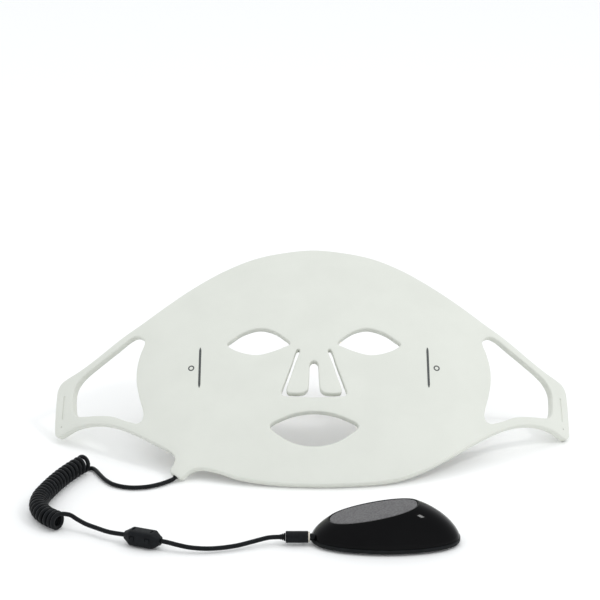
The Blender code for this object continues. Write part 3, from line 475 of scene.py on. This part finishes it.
skins = {}
for name, share in shares.items():
    bm = bmesh.new()
    bm.from_mesh(skin_mesh)
    bm.faces.ensure_lookup_table()
    bmesh.ops.delete(bm, geom=[bm.faces[i] for i in np.flatnonzero(~share)], context="FACES")
    walls_made = bmesh.ops.holes_fill(bm, edges=[e for e in bm.edges if e.is_boundary], sides=0)
    bmesh.ops.triangulate(bm, faces=walls_made["faces"])
    skins[name] = as_piece(name, bm, silicone, bent)
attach(skins["face_cover"], "mask")
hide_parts("front_cover")
for side, label in ((-1, "left"), (1, "right")):
    loop, flap = skins[f"{label}_strap_loop"], skins[f"{label}_nose_flap_skin"]
    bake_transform(loop)
    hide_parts(f"{label}_wing_loop")
    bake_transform(flap)
    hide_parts(f"{label}_nose_flap")


# ---- printed marks -----------------------------------------------------------------------
# A plain bar and a small ring, pad printed in dark grey on each cheek.
BAR_AT, BAR_HALF, BAR_REACH = (0.0790, 0.0945), 0.0008, 0.0165
RING_AT, RING_INNER, RING_OUTER = (0.0850, 0.0945), 0.0013, 0.0022
INK_HIGH = 0.00006


def strip(centre, half_u, half_v, count=24):
    """Thin rounded bar on the sheet's front, as a grid across and along it."""
    s, t = np.meshgrid(np.linspace(-1, 1, 5), np.linspace(-1, 1, count), indexing="ij")
    flat = np.stack([centre[0] + half_u * s * np.clip(6 * (1 - np.abs(t)), 0, 1)**0.5,
                     centre[1] + half_v * t, 0 * s + INK_HIGH], -1).reshape(-1, 3)
    i, j = np.meshgrid(np.arange(4), np.arange(count - 1), indexing="ij")
    a = (i * count + j).ravel()
    return flat, np.stack([a, a + count, a + count + 1, a + 1], 1).tolist()


def band(centre, inner, outside, count=40):
    """Flat ring on the sheet's front, between two radii."""
    a = np.arange(count) * 2 * np.pi / count
    rings = [np.stack([centre[0] + r * np.cos(a), centre[1] + r * np.sin(a), 0 * a + INK_HIGH], 1)
             for r in (inner, outside)]
    j = np.arange(count)
    after = (j + 1) % count
    return np.concatenate(rings), np.stack([j, j + count, after + count, after], 1).tolist()


# Silicone ink, pad printed: a flat dark grey film, a touch glossier than the skin.
ink, shader = finish_of("pad_printed_ink", 0.5, 1.45)
two_tone(ink, shader, grain(ink, 0.0006), "#3a3d3c", "#545756")
for side, label in ((-1, "left"), (1, "right")):
    bm = joined([strip((side * BAR_AT[0], BAR_AT[1]), BAR_HALF, BAR_REACH),
                 band((side * RING_AT[0], RING_AT[1]), RING_INNER, RING_OUTER)])
    mark = as_piece(f"{label}_printed_mark", bm, ink, bent)
    if mark.data.polygons[0].normal.y > 0:
        mark.data.flip_normals()
    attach(mark, "mask")


# ---- rear cover --------------------------------------------------------------------------
# The side that meets the face: a sheet of clear silicone let into the back of the skin and
# bonded round its edge and round each opening, with a small lens pressed out over every lamp.
def lamp_places(pitch, keep_out):
    """Centres of a staggered grid of lamps inside the lamp field and clear of its walls."""
    row, column = np.meshgrid(np.arange(-2, 26), np.arange(-14, 15), indexing="ij")
    spots = np.stack([(column + (row % 2) / 2) * pitch, 0.004 + row * pitch * 0.86], -1).reshape(-1, 2)
    spots = spots[within(spots, [grown(lamp_field, -keep_out)])]
    for wall in walls:
        spots = spots[~within(spots, [grown(wall, keep_out * 0.5)])]
    solder_at = (NUB_MOUTH + nub_axis * 0.026)[:2]
    return spots[np.linalg.norm(spots - solder_at, axis=1) > 0.0105]


LAMP_PITCH, LENS_R, LENS_HIGH = 0.0105, 0.0026, 0.0006
lamps = lamp_places(LAMP_PITCH, 0.0060)


def copied(template, faces, spots):
    """A small template set down at every spot in the flat drawing, as one patch."""
    places = np.column_stack([spots, np.zeros(len(spots))])
    points = (places[:, None] + np.asarray(template)[None]).reshape(-1, 3)
    return points, [[i + k * len(template) for i in face] for k in range(len(spots)) for face in faces]


def cap_of_rings(radii, levels, sides):
    """Turned cap about w: rings of given radii and levels, closed by a point at the middle."""
    a = np.arange(sides) * 2 * np.pi / sides
    rings = [np.stack([r * np.cos(a), r * np.sin(a), 0 * a + z], 1) for r, z in zip(radii, levels)]
    points = np.concatenate(rings + [np.array([[0, 0, levels[-1]]])])
    j = np.arange(sides)
    faces = [[int(x) for x in (k * sides + i, k * sides + (i + 1) % sides,
                               (k + 1) * sides + (i + 1) % sides, (k + 1) * sides + i)]
             for k in range(len(radii) - 1) for i in j]
    top = (len(radii) - 1) * sides
    return points, faces + [[int(top + i), int(top + (i + 1) % sides), top + sides] for i in j]


GAP = 0.0003
cover_edge = [(LIP, -THICK + REAR), (0, -THICK + REAR - LIP), (0, -THICK + LIP), (LIP, -THICK)]
field_in, walls_out = grown(lamp_field, -GAP / 2), [grown(wall, GAP / 2) for wall in walls]
patches = [carried(field_in, cover_edge, -1)] + [carried(wall, cover_edge, 1) for wall in walls_out]
for level in (-THICK, -THICK + REAR):
    flat_loops = [grown(field_in, -LIP)] + [grown(wall, LIP) for wall in walls_out]
    patches.append(filled(flat_loops, level, 0.005))
rear = joined(patches)
rise = np.sin(np.linspace(0, np.pi / 2, 5))
lens_radii, lens_levels = LENS_R * np.cos(np.linspace(0, 1.35, 5)), -THICK + 0.00005 - LENS_HIGH * rise
lens, lens_faces = cap_of_rings(lens_radii, lens_levels, 16)

# Clear silicone moulded satin: lamps and tracks show through it as through frosted glass.
clear_silicone, shader = finish_of("moulded_clear_silicone", 0.34, 1.41, Transmission_Weight=0.72)
shader.inputs["Base Color"].default_value = linear("#f1f1ec")
rougher(clear_silicone, shader, grain(clear_silicone, 0.009), 0.26, 0.40)
bumped(clear_silicone, shader, grain(clear_silicone, 0.0008), 0.00003)
rear_skin = as_piece("rear_cover_skin", rear, clear_silicone, bent)
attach(rear_skin, "mask")
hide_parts("rear_cover")
lens_mesh = joined([copied(lens, lens_faces, lamps)])
lenses = as_piece("lamp_lenses", lens_mesh, clear_silicone, bent)
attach(lenses, "mask")

# ---- lamp board --------------------------------------------------------------------------
# Amber polyimide film with copper tracks inside it, and a white lamp package soldered at each
# place.  Every package holds a yellow phosphor dot.
BOARD_FRONT, BOARD = -SKIN - GAP, 0.0004
board_field, board_walls = grown(lamp_field, -0.0006), [grown(wall, 0.0006) for wall in walls]
film_edge = [(0, BOARD_FRONT), (0, BOARD_FRONT - BOARD)]
patches = [carried(board_field, film_edge, -1)] + [carried(wall, film_edge, 1) for wall in board_walls]
patches += [filled([board_field, *board_walls], level, 0.007)
            for level in (BOARD_FRONT, BOARD_FRONT - BOARD)]

# Polyimide film: clear amber over copper; tracks run up the film every few millimetres.
film, shader = finish_of("polyimide_film", 0.38, 1.6)
where = add_node(film, "ShaderNodeTexCoord")
tracks = add_node(film, "ShaderNodeTexWave", [("Vector", where.outputs["Object"])],
                  bands_direction="X", Scale=1 / 0.0053 / 20, Distortion=1.5)
two_tone(film, shader, tracks.outputs["Fac"], "#c9a56a", "#dcc294", 0.45, 0.55)
bumped(film, shader, grain(film, 0.002), 0.00003)
board = as_piece("lamp_film", joined(patches), film, bent)
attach(board, "mask")
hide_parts("led_board")

CHIP, CHIP_HIGH = 0.0028, 0.0008
back_of_film = BOARD_FRONT - BOARD
chip_levels = back_of_film - CHIP_HIGH * np.array([0, 0.9, 1])
dot_levels = back_of_film - CHIP_HIGH - np.array([0, 6e-5, 1e-4])
chip, chip_faces = cap_of_rings(np.array([0.72, 0.72, 0.66]) * CHIP, chip_levels, 4)
dot, dot_faces = cap_of_rings(np.array([0.38, 0.34, 0.2]) * CHIP, dot_levels, 12)
# Lamp packages: white heat-stabilised nylon; the dot is phosphor cast in clear silicone.
for name, template, faces, pale, deep, slot in (
        ("lamp_packages", chip, chip_faces, "#f2f1ea", "#e4e2d8", "translucent_silicone"),
        ("phosphor_dots", dot, dot_faces, "#e9c53a", "#dcae22", "flexible_circuit")):
    mat, shader = finish_of(name, 0.4, 1.5)
    two_tone(mat, shader, grain(mat, 0.0007), deep, pale)
    piece = as_piece(name, joined([copied(template, faces, lamps)]), mat, bent)
    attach(piece, "mask")


# ---- cable sleeve ------------------------------------------------------------------------
# A black PVC bush, moulded round the lead and bonded into the mouth of the nub.
def turned(profile, sides=40, squareness=2.0):
    """Closed solid turned round X from (x, radius) pairs that start and end on the axis.  With
    squareness p its section is |y|^p + |z|^p = radius^p, a circle at 2."""
    p = np.asarray(profile, float)
    a = np.arange(sides) * 2 * np.pi / sides
    p_of = np.broadcast_to(np.asarray(squareness, float), len(p))[:, None]
    wide = (np.abs(np.cos(a))**p_of + np.abs(np.sin(a))**p_of)**(-1 / p_of)
    points = np.stack([np.broadcast_to(p[:, :1], wide.shape), p[:, 1:] * wide * np.cos(a),
                       p[:, 1:] * wide * np.sin(a)], -1).reshape(-1, 3)
    i, j = np.meshgrid(np.arange(len(p) - 1), np.arange(sides), indexing="ij")
    b, c = (i * sides + j).ravel(), (i * sides + (j + 1) % sides).ravel()
    return joined([(points, np.stack([b, c, c + sides, b + sides], 1).tolist())], 1e-7)


def rounded(corners, radius, steps=3):
    """Profile through corners, each but the first and last replaced by a quadratic arc that
    starts and ends a radius away from it, or a third of the shorter neighbouring side."""
    c = np.asarray(corners, float)
    into, out = c[1:-1] - c[:-2], c[2:] - c[1:-1]
    long_in, long_out = np.linalg.norm(into, axis=1)[:, None], np.linalg.norm(out, axis=1)[:, None]
    r = np.minimum(radius, np.minimum(long_in, long_out) / 3)
    t = np.linspace(0, 1, steps + 1)[None, :, None]
    corner = c[1:-1][:, None]
    start, end = corner - (into / long_in * r)[:, None], corner + (out / long_out * r)[:, None]
    arcs = ((1 - t)**2 * start + 2 * t * (1 - t) * corner + t**2 * end).reshape(-1, 2)
    return np.concatenate([c[:1], arcs, c[-1:]])


sleeve_start, sleeve_end = sheet([NUB_MOUTH - nub_axis * 0.0014, NUB_MOUTH + nub_axis * 0.0060])
sleeve_long = np.linalg.norm(sleeve_end - sleeve_start)
profile = rounded([(0, 0), (0, 0.0019), (sleeve_long, 0.0018), (sleeve_long, 0)], 0.0004)
sleeve_turn = Vector(sleeve_end - sleeve_start).to_track_quat("X", "Z").to_matrix()
sleeve_pvc, shader = finish_of("moulded_pvc", 0.42, 1.53, Specular_IOR_Level=0.12)
two_tone(sleeve_pvc, shader, grain(sleeve_pvc, 0.0015), "#090b0d", "#111417")
bumped(sleeve_pvc, shader, grain(sleeve_pvc, 0.0005), 0.00002)
sleeve = as_piece("nub_bush", turned(profile), sleeve_pvc,
                  lambda points: points @ np.array(sleeve_turn).T + sleeve_start)
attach(sleeve, "mask")
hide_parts("cable_sleeve")

# ---- clip-on ferrite ---------------------------------------------------------------------
# Two half cores of fired ferrite in a nylon case that snaps shut round the lead: a rounded
# square box with tapered ends, hinged on its rear side and latched by two hooks in front.
core_low, core_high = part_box("ferrite_core_lower")[0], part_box("ferrite_core_upper")[1]
FERRITE_AT = (np.array(core_low) + np.array(core_high)) / 2
FERRITE_TURN = math.radians(-22)
FERRITE_R, FERRITE_HALF, TAPER, BORE_R = 0.0052, 0.01225, 0.0046, 0.0018
CORE_R, CORE_HALF = 0.0042, 0.0088
ferrite_turn = np.array(Matrix.Rotation(FERRITE_TURN, 3, "Z"))


def on_ferrite(points):
    """Points along the ferrite's own X, turned and moved to where it lies on the lead."""
    return points @ ferrite_turn.T + FERRITE_AT


case_profile = rounded([(-FERRITE_HALF, 0), (-FERRITE_HALF, 0.0028), (-FERRITE_HALF + 0.0009, 0.0031),
                        (-FERRITE_HALF + TAPER, FERRITE_R), (FERRITE_HALF - TAPER, FERRITE_R),
                        (FERRITE_HALF - 0.0009, 0.0031), (FERRITE_HALF, 0.0028),
                        (FERRITE_HALF, 0)], 0.0005)
squareness = 2.2 + 1.8 * np.clip((case_profile[:, 1] - 0.003) / 0.0022, 0, 1)
case = turned(case_profile, 64, squareness)


def cut_by(bm, *tools):
    """The bmesh with closed tools taken out of it, by an exact Boolean."""
    body = bpy.data.objects.new("body", bpy.data.meshes.new("body"))
    bm.to_mesh(body.data)
    bm.free()
    bpy.context.scene.collection.objects.link(body)
    for tool in tools:
        cutter = bpy.data.objects.new("cutter", bpy.data.meshes.new("cutter"))
        tool.to_mesh(cutter.data)
        tool.free()
        bpy.context.scene.collection.objects.link(cutter)
        step = body.modifiers.new("cut", "BOOLEAN")
        step.object, step.solver = cutter, "EXACT"
        done = bpy.data.meshes.new_from_object(body.evaluated_get(bpy.context.evaluated_depsgraph_get()))
        body.modifiers.clear()
        body.data = done
        bpy.data.objects.remove(cutter)
    result = bmesh.new()
    result.from_mesh(body.data)
    bpy.data.objects.remove(body)
    return result


def block(low, high, radius=0.0):
    """Box between two corners, its edges rounded to a radius."""
    bm = bmesh.new()
    bmesh.ops.create_cube(bm, size=1.0)
    size, centre = np.subtract(high, low), np.add(high, low) / 2
    placed = Matrix.Translation(centre) @ Matrix.Diagonal((*size, 1))
    bmesh.ops.transform(bm, matrix=placed, verts=bm.verts)
    if radius:
        bmesh.ops.bevel(bm, geom=bm.edges[:], offset=radius, segments=2, profile=0.5, affect="EDGES")
    return bm


def merged(*pieces):
    """One bmesh that holds several closed ones."""
    whole, mesh = bmesh.new(), bpy.data.meshes.new("merged")
    for bm in pieces:
        bm.to_mesh(mesh)
        bm.free()
        whole.from_mesh(mesh)
    bpy.data.meshes.remove(mesh)
    return whole


# Glass-filled nylon moulded in a spark-eroded tool: charcoal black with an even fine texture.
nylon, shader = finish_of("moulded_black_nylon", 0.46, 1.53, Specular_IOR_Level=0.12)
two_tone(nylon, shader, grain(nylon, 0.003), "#0b0d10", "#121518")
rougher(nylon, shader, grain(nylon, 0.0011), 0.40, 0.55)
bumped(nylon, shader, grain(nylon, 0.0004, 1), 0.00004)
case_mesh = bpy.data.meshes.new("case")
case.to_mesh(case_mesh)
case.free()
HOOKS, VENTS, KNUCKLES = (-0.0052, 0.0052), (-0.0062, 0.0062), (-0.0050, 0.0050)
for label, sign in (("lower", -1), ("upper", 1)):
    half_case = bmesh.new()
    half_case.from_mesh(case_mesh)
    other_half = block((-0.02, -0.01, min(0, -sign * 0.01) + (sign > 0) * 0.0001),
                       (0.02, 0.01, max(0, -sign * 0.01) - (sign < 0) * 0.0001))
    tools = [other_half, turned([(-0.02, 0), (-0.02, BORE_R), (0.02, BORE_R), (0.02, 0)], 24),
             turned([(-CORE_HALF, 0), (-CORE_HALF, CORE_R), (CORE_HALF, CORE_R), (CORE_HALF, 0)], 32)]
    if sign > 0:
        tools += [block((x - 0.0017, -0.0070, -0.001), (x + 0.0017, -0.0044, 0.0024)) for x in HOOKS]
        tools += [block((x - 0.0006, -0.0020, 0.0046), (x + 0.0006, 0.0020, 0.0060)) for x in VENTS]
    half_case = cut_by(half_case, *tools)
    if sign < 0:
        hooks = [block((x - 0.0013, -0.0054, -0.0016), (x + 0.0013, -0.0046, 0.0020), 0.0002)
                 for x in HOOKS]
        knuckles = [block((x - 0.0016, 0.0049, -0.0009), (x + 0.0016, 0.0061, 0.0009), 0.0004)
                    for x in KNUCKLES]
        half_case = merged(half_case, *hooks, *knuckles)
    shell = as_piece(f"ferrite_shell_{label}", half_case, nylon, on_ferrite)
    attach(shell, "mask" if sign < 0 else "ferrite_lid")
    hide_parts(f"ferrite_case_{label}")

# Fired manganese-zinc ferrite: dark grey, matt and slightly pitted, like unglazed stoneware.
ferrite, shader = finish_of("fired_ferrite", 0.62, 1.6)
two_tone(ferrite, shader, grain(ferrite, 0.0012), "#35363a", "#4b4c50")
bumped(ferrite, shader, grain(ferrite, 0.0005), 0.00005)
for label in ("lower", "upper"):
    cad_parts[f"ferrite_core_{label}"].data.materials[0] = ferrite

# ---- plug --------------------------------------------------------------------------------
# A barrel plug: a moulded PVC body with a stepped strain relief, a thin nickel-plated collar, a
# black shoulder and a turned nickel-plated tip.
body_low, body_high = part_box("plug_body")
plug_at = (np.array(body_low) + np.array(body_high)) / 2
BODY_HALF, BODY_R = (body_high.x - body_low.x) / 2, 0.0037
boot_x, tip_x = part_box("plug_boot")[0].x - plug_at[0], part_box("plug_barrel")[1].x - plug_at[0]


def on_plug(points):
    """Points along the plug's own X, moved to where it sits in the controller's end."""
    return points + plug_at


boot_end = -BODY_HALF - GAP / 3
steps = np.linspace(boot_x, boot_end, 4)
NECK = 0.0003                             # length of the grooves between the boot's steps
boot_profile = [(steps[0], 0), (steps[0], 0.00175), (steps[1] - NECK, 0.0018),
                (steps[1] - NECK, 0.0015), (steps[1], 0.0015), (steps[1], 0.0021),
                (steps[2] - NECK, 0.0021), (steps[2] - NECK, 0.0017), (steps[2], 0.0017),
                (steps[2], 0.0025), (steps[3], 0.0025), (steps[3], 0)]
body_profile = [(-BODY_HALF, 0), (-BODY_HALF, BODY_R), (BODY_HALF, BODY_R), (BODY_HALF, 0)]
TIP_R, COLLAR_R, SHOULDER_R, BORE_DEEP = 0.0020, 0.0033, 0.0022, 0.0090
collar_end = BODY_HALF + 0.0009
shoulder_end = collar_end + 0.0060
collar_profile = [(BODY_HALF + 0.0001, 0), (BODY_HALF + 0.0001, COLLAR_R),
                  (collar_end, COLLAR_R), (collar_end, 0)]
shoulder_profile = [(collar_end + 0.0001, 0), (collar_end + 0.0001, SHOULDER_R),
                    (shoulder_end - 0.0001, SHOULDER_R), (shoulder_end - 0.0001, 0)]
tip_profile = [(shoulder_end, 0), (shoulder_end, TIP_R), (tip_x, TIP_R), (tip_x, 0.0011),
               (tip_x - BORE_DEEP, 0.0011), (tip_x - BORE_DEEP, 0)]
# Nickel plate: pale, slightly warm metal with fine rings left by turning.
nickel, shader = finish_of("turned_nickel_plate", 0.24, Metallic=1.0)
two_tone(nickel, shader, grain(nickel, 0.0015), "#c9c1b0", "#ded7c8")
rings = grain(nickel, 0.0004, 1, (1, 0.02, 0.02))
rougher(nickel, shader, rings, 0.18, 0.32)
bumped(nickel, shader, rings, 0.00001)
plug_pieces = []
for name, profile, mat, radius, slot in (
        ("plug_strain_relief", boot_profile, sleeve_pvc, 0.0002, "black_vinyl"),
        ("plug_grip", body_profile, sleeve_pvc, 0.0005, "black_vinyl"),
        ("plug_shoulder", shoulder_profile, sleeve_pvc, 0.0002, "black_vinyl"),
        ("plug_collar", collar_profile, nickel, 0.0002, "nickel_plate"),
        ("plug_tip", tip_profile, nickel, 0.0002, "nickel_plate")):
    plug_pieces.append(as_piece(name, turned(rounded(profile, radius), 48), mat, on_plug))
    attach(plug_pieces[-1], "mask")
for place, node in ((0, "plug_boot"), (1, "plug_body"), (4, "plug_barrel")):
    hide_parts(node)

# ---- controller --------------------------------------------------------------------------
# A pebble in two ABS shells.  The upper one is polished black, a dome cut by a sloping plane;
# a matt oval press pad lies in a well in that slope and clicks down on its switch.
base_low, base_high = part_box("controller_lower_shell")
PEBBLE = np.array([(base_low.x + base_high.x) / 2, (base_low.y + base_high.y) / 2, 0.0])
DOME_LONG, DOME_DEEP, DOME, SPLIT = 0.0460, 0.0217, 0.0274, 0.0043
PLAN_POWER = 2.4
PAD_X, PAD_HIGH, PAD_SLOPE = -0.0079, 0.0206, math.tan(math.radians(11.3))
FACET_X, FULLNESS = -0.0067, 0.72
WALL = 0.0018


def on_pebble(points):
    """Points about the controller's centre on the floor, moved to where it stands."""
    return points + PEBBLE


def dome_height(x, y, inset):
    """Rise of the dome over its base: DOME (1 - (x / long)^2 - (|y| / deep)^2.4), all set in."""
    return (DOME - inset) * (1 - (x / (DOME_LONG - inset))**2
                             - (np.abs(y) / (DOME_DEEP - inset))**PLAN_POWER)


def reach_to(level_at, angle, inset):
    """Distance from the facet's middle, at each angle, where the dome comes down to a level that
    may depend on x, found by halving."""
    near, far = np.zeros_like(angle), np.full_like(angle, 0.06)
    for _ in range(40):
        middle = (near + far) / 2
        x, y = FACET_X + middle * np.cos(angle), middle * np.sin(angle)
        above = dome_height(x, y, inset) > level_at(x)
        near, far = np.where(above, middle, near), np.where(above, far, middle)
    return near


def slope_over(x):
    """Height of the sloping plane over the parting line."""
    return PAD_HIGH - SPLIT + (x - PAD_X) * PAD_SLOPE


SIDES = 160
around = np.arange(SIDES) * 2 * np.pi / SIDES
facet_at = reach_to(slope_over, around, 0.0)


def facet_rings(insets, drops):
    """Rings on the sloping plane, each the facet's outline set in and dropped by a distance."""
    return [np.stack([FACET_X + (facet_at - inset) * np.cos(around), (facet_at - inset) * np.sin(around),
                      SPLIT + slope_over(FACET_X + (facet_at - inset) * np.cos(around)) - drop], 1)
            for inset, drop in zip(insets, drops)]


def dome_rings(inset, shares, drop=0.0):
    """Rings from the facet's edge to the parting line at shares of the way out.  Each height is
    the edge's, times the part of it that the dome keeps there raised to FULLNESS."""
    start = reach_to(lambda x: slope_over(x) - drop, around, inset)
    end = reach_to(lambda x: 0 * x, around, inset)
    top = dome_height(FACET_X + start * np.cos(around), start * np.sin(around), inset)
    rings = []
    for share in shares:
        x = FACET_X + (start + (end - start) * share) * np.cos(around)
        y = (start + (end - start) * share) * np.sin(around)
        kept = np.clip(dome_height(x, y, inset) / top, 0, 1)
        rings.append(np.stack([x, y, SPLIT + top * kept**FULLNESS], 1))
    return rings


def lofted(rings):
    """Closed skin through rings of equal count, each end closed by its middle point."""
    count = len(rings[0])
    points = np.concatenate(rings + [rings[0].mean(0)[None], rings[-1].mean(0)[None]])
    i, j = np.meshgrid(np.arange(len(rings) - 1), np.arange(count), indexing="ij")
    a, b = (i * count + j).ravel(), (i * count + (j + 1) % count).ravel()
    faces = np.stack([a, b, b + count, a + count], 1).tolist()
    last, j = (len(rings) - 1) * count, np.arange(count)
    faces += np.stack([j, (j + 1) % count, 0 * j + len(rings) * count], 1).tolist()
    faces += np.stack([last + j, last + (j + 1) % count, 0 * j + len(rings) * count + 1], 1).tolist()
    return joined([(points, faces)], 1e-7)


# Polished black ABS: glassy, with a few hair-fine scratches and the faintest waviness.
gloss, shader = finish_of("polished_black_abs", 0.06, 1.52, Specular_IOR_Level=0.08)
two_tone(gloss, shader, grain(gloss, 0.02), "#030304", "#060607")
rougher(gloss, shader, grain(gloss, 0.006, 4), 0.04, 0.11)
bumped(gloss, shader, grain(gloss, 0.014, 1), 0.00002)
WELL = 0.0025
ease = np.linspace(0, 1, 26)
down = 0.25 * ease + 0.75 * (1 - (1 - ease)**2)
rings = facet_rings([0.0100, 0.0014, 0.0011, 0.0009, 0.0007, 0.0005, 0.0002],
                    [WELL, WELL, WELL, 0.0006, 0.0002, 0.00004, 0.0])
rings += dome_rings(0.0, down)
rings.append(rings[-1] * (0.996, 0.996, 1) - (0, 0, 0.0001))
inside = dome_rings(WALL, down[::-1][1:], WELL + 0.0015)
rings += [inside[0] * (1, 1, 0) + (0, 0, SPLIT - 0.0001)] + inside
PORT_OUT, PORT_IN, PORT_R = -0.06, -0.0394, 0.0024
SOCKET_Y, SOCKET_Z = -0.0040, 0.0050
port = turned([(PORT_OUT, 0), (PORT_OUT, PORT_R), (PORT_IN, PORT_R), (PORT_IN, 0)], 32)
bmesh.ops.translate(port, verts=port.verts, vec=(0, SOCKET_Y, SOCKET_Z))
upper_shell = as_piece("gloss_upper_shell", cut_by(lofted(rings), port.copy()), gloss, on_pebble, 30)
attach(upper_shell, "controller")
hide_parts("controller_upper_shell")

# Press pad: ABS with a sprayed soft-touch coat, matt mid grey with a fine mottle.
soft_touch, shader = finish_of("soft_touch_coat", 0.62, 1.46, Sheen_Weight=0.05)
two_tone(soft_touch, shader, grain(soft_touch, 0.0012, 4), "#4f4e4f", "#666566", 0.40, 0.60)
rougher(soft_touch, shader, grain(soft_touch, 0.002), 0.55, 0.72)
bumped(soft_touch, shader, grain(soft_touch, 0.0006, 3), 0.00005)
pad_rings = facet_rings([0.0100, 0.0019, 0.0015, 0.00125, 0.00115, 0.00115, 0.0040],
                        [0.0, 0.0, 0.00004, 0.00018, 0.0004, 0.0016, 0.0016])
press_pad = as_piece("soft_touch_pad", lofted(pad_rings), soft_touch, on_pebble)
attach(press_pad, "power_pad")
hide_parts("press_pad")

# Lower shell: the same ABS left satin from the tool, a shallow tray that stands a little proud.
BASE, BASE_LONG, BASE_DEEP = 0.0013, (base_high.x - base_low.x) / 2, (base_high.y - base_low.y) / 2


def plan_ring(inset, level):
    """The pebble's plan, |x/long|^2 + |y/deep|^2.4 = 1, set in, at a level."""
    x = (BASE_LONG - inset) * np.cos(around)
    y = (BASE_DEEP - inset) * np.sign(np.sin(around)) * np.abs(np.sin(around))**(2 / PLAN_POWER)
    return np.stack([x, y, 0 * x + level], 1)


TRAY_WALL, TRAY_FLOOR = 0.0016, 0.0014
tray = [(0.012, BASE), (0.0008, BASE), (0.0003, BASE + 0.0002), (0.0, BASE + 0.0007),
        (0.0, SPLIT - 0.0006), (0.00015, SPLIT - 0.0003), (0.0005, SPLIT - 0.0002),
        (TRAY_WALL, SPLIT - 0.0002), (TRAY_WALL, BASE + TRAY_FLOOR), (0.012, BASE + TRAY_FLOOR)]
lower = cut_by(lofted([plan_ring(inset, level) for inset, level in tray]), port)
satin, shader = finish_of("satin_black_abs", 0.42, 1.52, Specular_IOR_Level=0.12)
two_tone(satin, shader, grain(satin, 0.004), "#0d0f10", "#15181a")
rougher(satin, shader, grain(satin, 0.0015), 0.36, 0.50)
bumped(satin, shader, grain(satin, 0.0005), 0.00003)
lower_shell = as_piece("satin_lower_shell", lower, satin, on_pebble)
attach(lower_shell, "controller")
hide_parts("controller_lower_shell")

# ---- inside and under the controller -----------------------------------------------------
# Screws, feet, cell, board, socket and switch keep their shapes: small, mostly hidden pieces.
SMALL = (("screw_", "zinc_plated_steel", "#8e8f92", "#b4b5b8", 0.30, 0.0012, "Metallic"),
         ("foot_", "moulded_foot_rubber", "#141516", "#1f2021", 0.80, 0.0008, None),
         ("battery_cell", "foil_pouch", "#6b7079", "#8b9099", 0.34, 0.0060, None),
         ("circuit_board", "green_solder_mask", "#12502c", "#1d6a3c", 0.42, 0.0030, None),
         ("tact_switch", "nylon_switch_housing", "#141414", "#1f1f20", 0.45, 0.0010, None),
         ("switch_plunger", "acetal_plunger", "#8d8064", "#a3967a", 0.40, 0.0010, None),
         ("power_socket", "nylon_socket_housing", "#101112", "#1a1b1c", 0.45, 0.0010, None),
         ("lead_solder_block", "black_potting", "#101213", "#1c1e20", 0.35, 0.0015, None))
for start, name, dark, light, roughness, spacing, metal in SMALL:
    mat, shader = finish_of(name, roughness)
    if metal:
        shader.inputs[metal].default_value = 1.0
    two_tone(mat, shader, grain(mat, spacing), dark, light)
    bumped(mat, shader, grain(mat, spacing / 3), 0.00002)
    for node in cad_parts.values():
        if node.name.startswith(start):
            node.data.materials[0] = mat

# ---- floor and lights --------------------------------------------------------------------
# A wide pale sweep of painted board under an even white sky, with one large soft box above and
# one small one, like a window, that glints on the controller's shoulder.
floor = bpy.data.objects.new("floor", bpy.data.meshes.new("floor"))
floor.data.from_pydata([(-6, -6, 0), (6, -6, 0), (6, 6, 0), (-6, 6, 0)], [], [(0, 1, 2, 3)])
floor.location.z = -0.0002
bpy.context.scene.collection.objects.link(floor)
floor_paint, shader = finish_of("floor_paint", 0.9)
shader.inputs["Base Color"].default_value = linear("#fbfbfa")
floor.data.materials.append(floor_paint)


def softbox(name, place, aim, size, power):
    """Rectangular area light at a place, turned towards a point."""
    lamp = bpy.data.objects.new(name, bpy.data.lights.new(name, "AREA"))
    lamp.data.shape = "RECTANGLE"
    lamp.data.size, lamp.data.size_y = size
    lamp.data.energy = power
    lamp.location = place
    lamp.rotation_euler = (Vector(aim) - Vector(place)).to_track_quat("-Z", "Y").to_euler()
    bpy.context.scene.collection.objects.link(lamp)


softbox("window_light", (0.73, -0.354, 0.994), (0.066, -0.116, 0.022), (0.18, 0.11), 2.2)
softbox("top_light", (0, 0.5, 2.0), (0, 0, 0), (1.6, 1.2), 3)
world = bpy.data.worlds.new("studio")
bpy.context.scene.world = world
world.use_nodes = True
world.node_tree.nodes["Background"].inputs["Color"].default_value = linear("#f4f6f8")
world.node_tree.nodes["Background"].inputs["Strength"].default_value = 1.08
bpy.context.scene.view_settings.view_transform = "Standard"
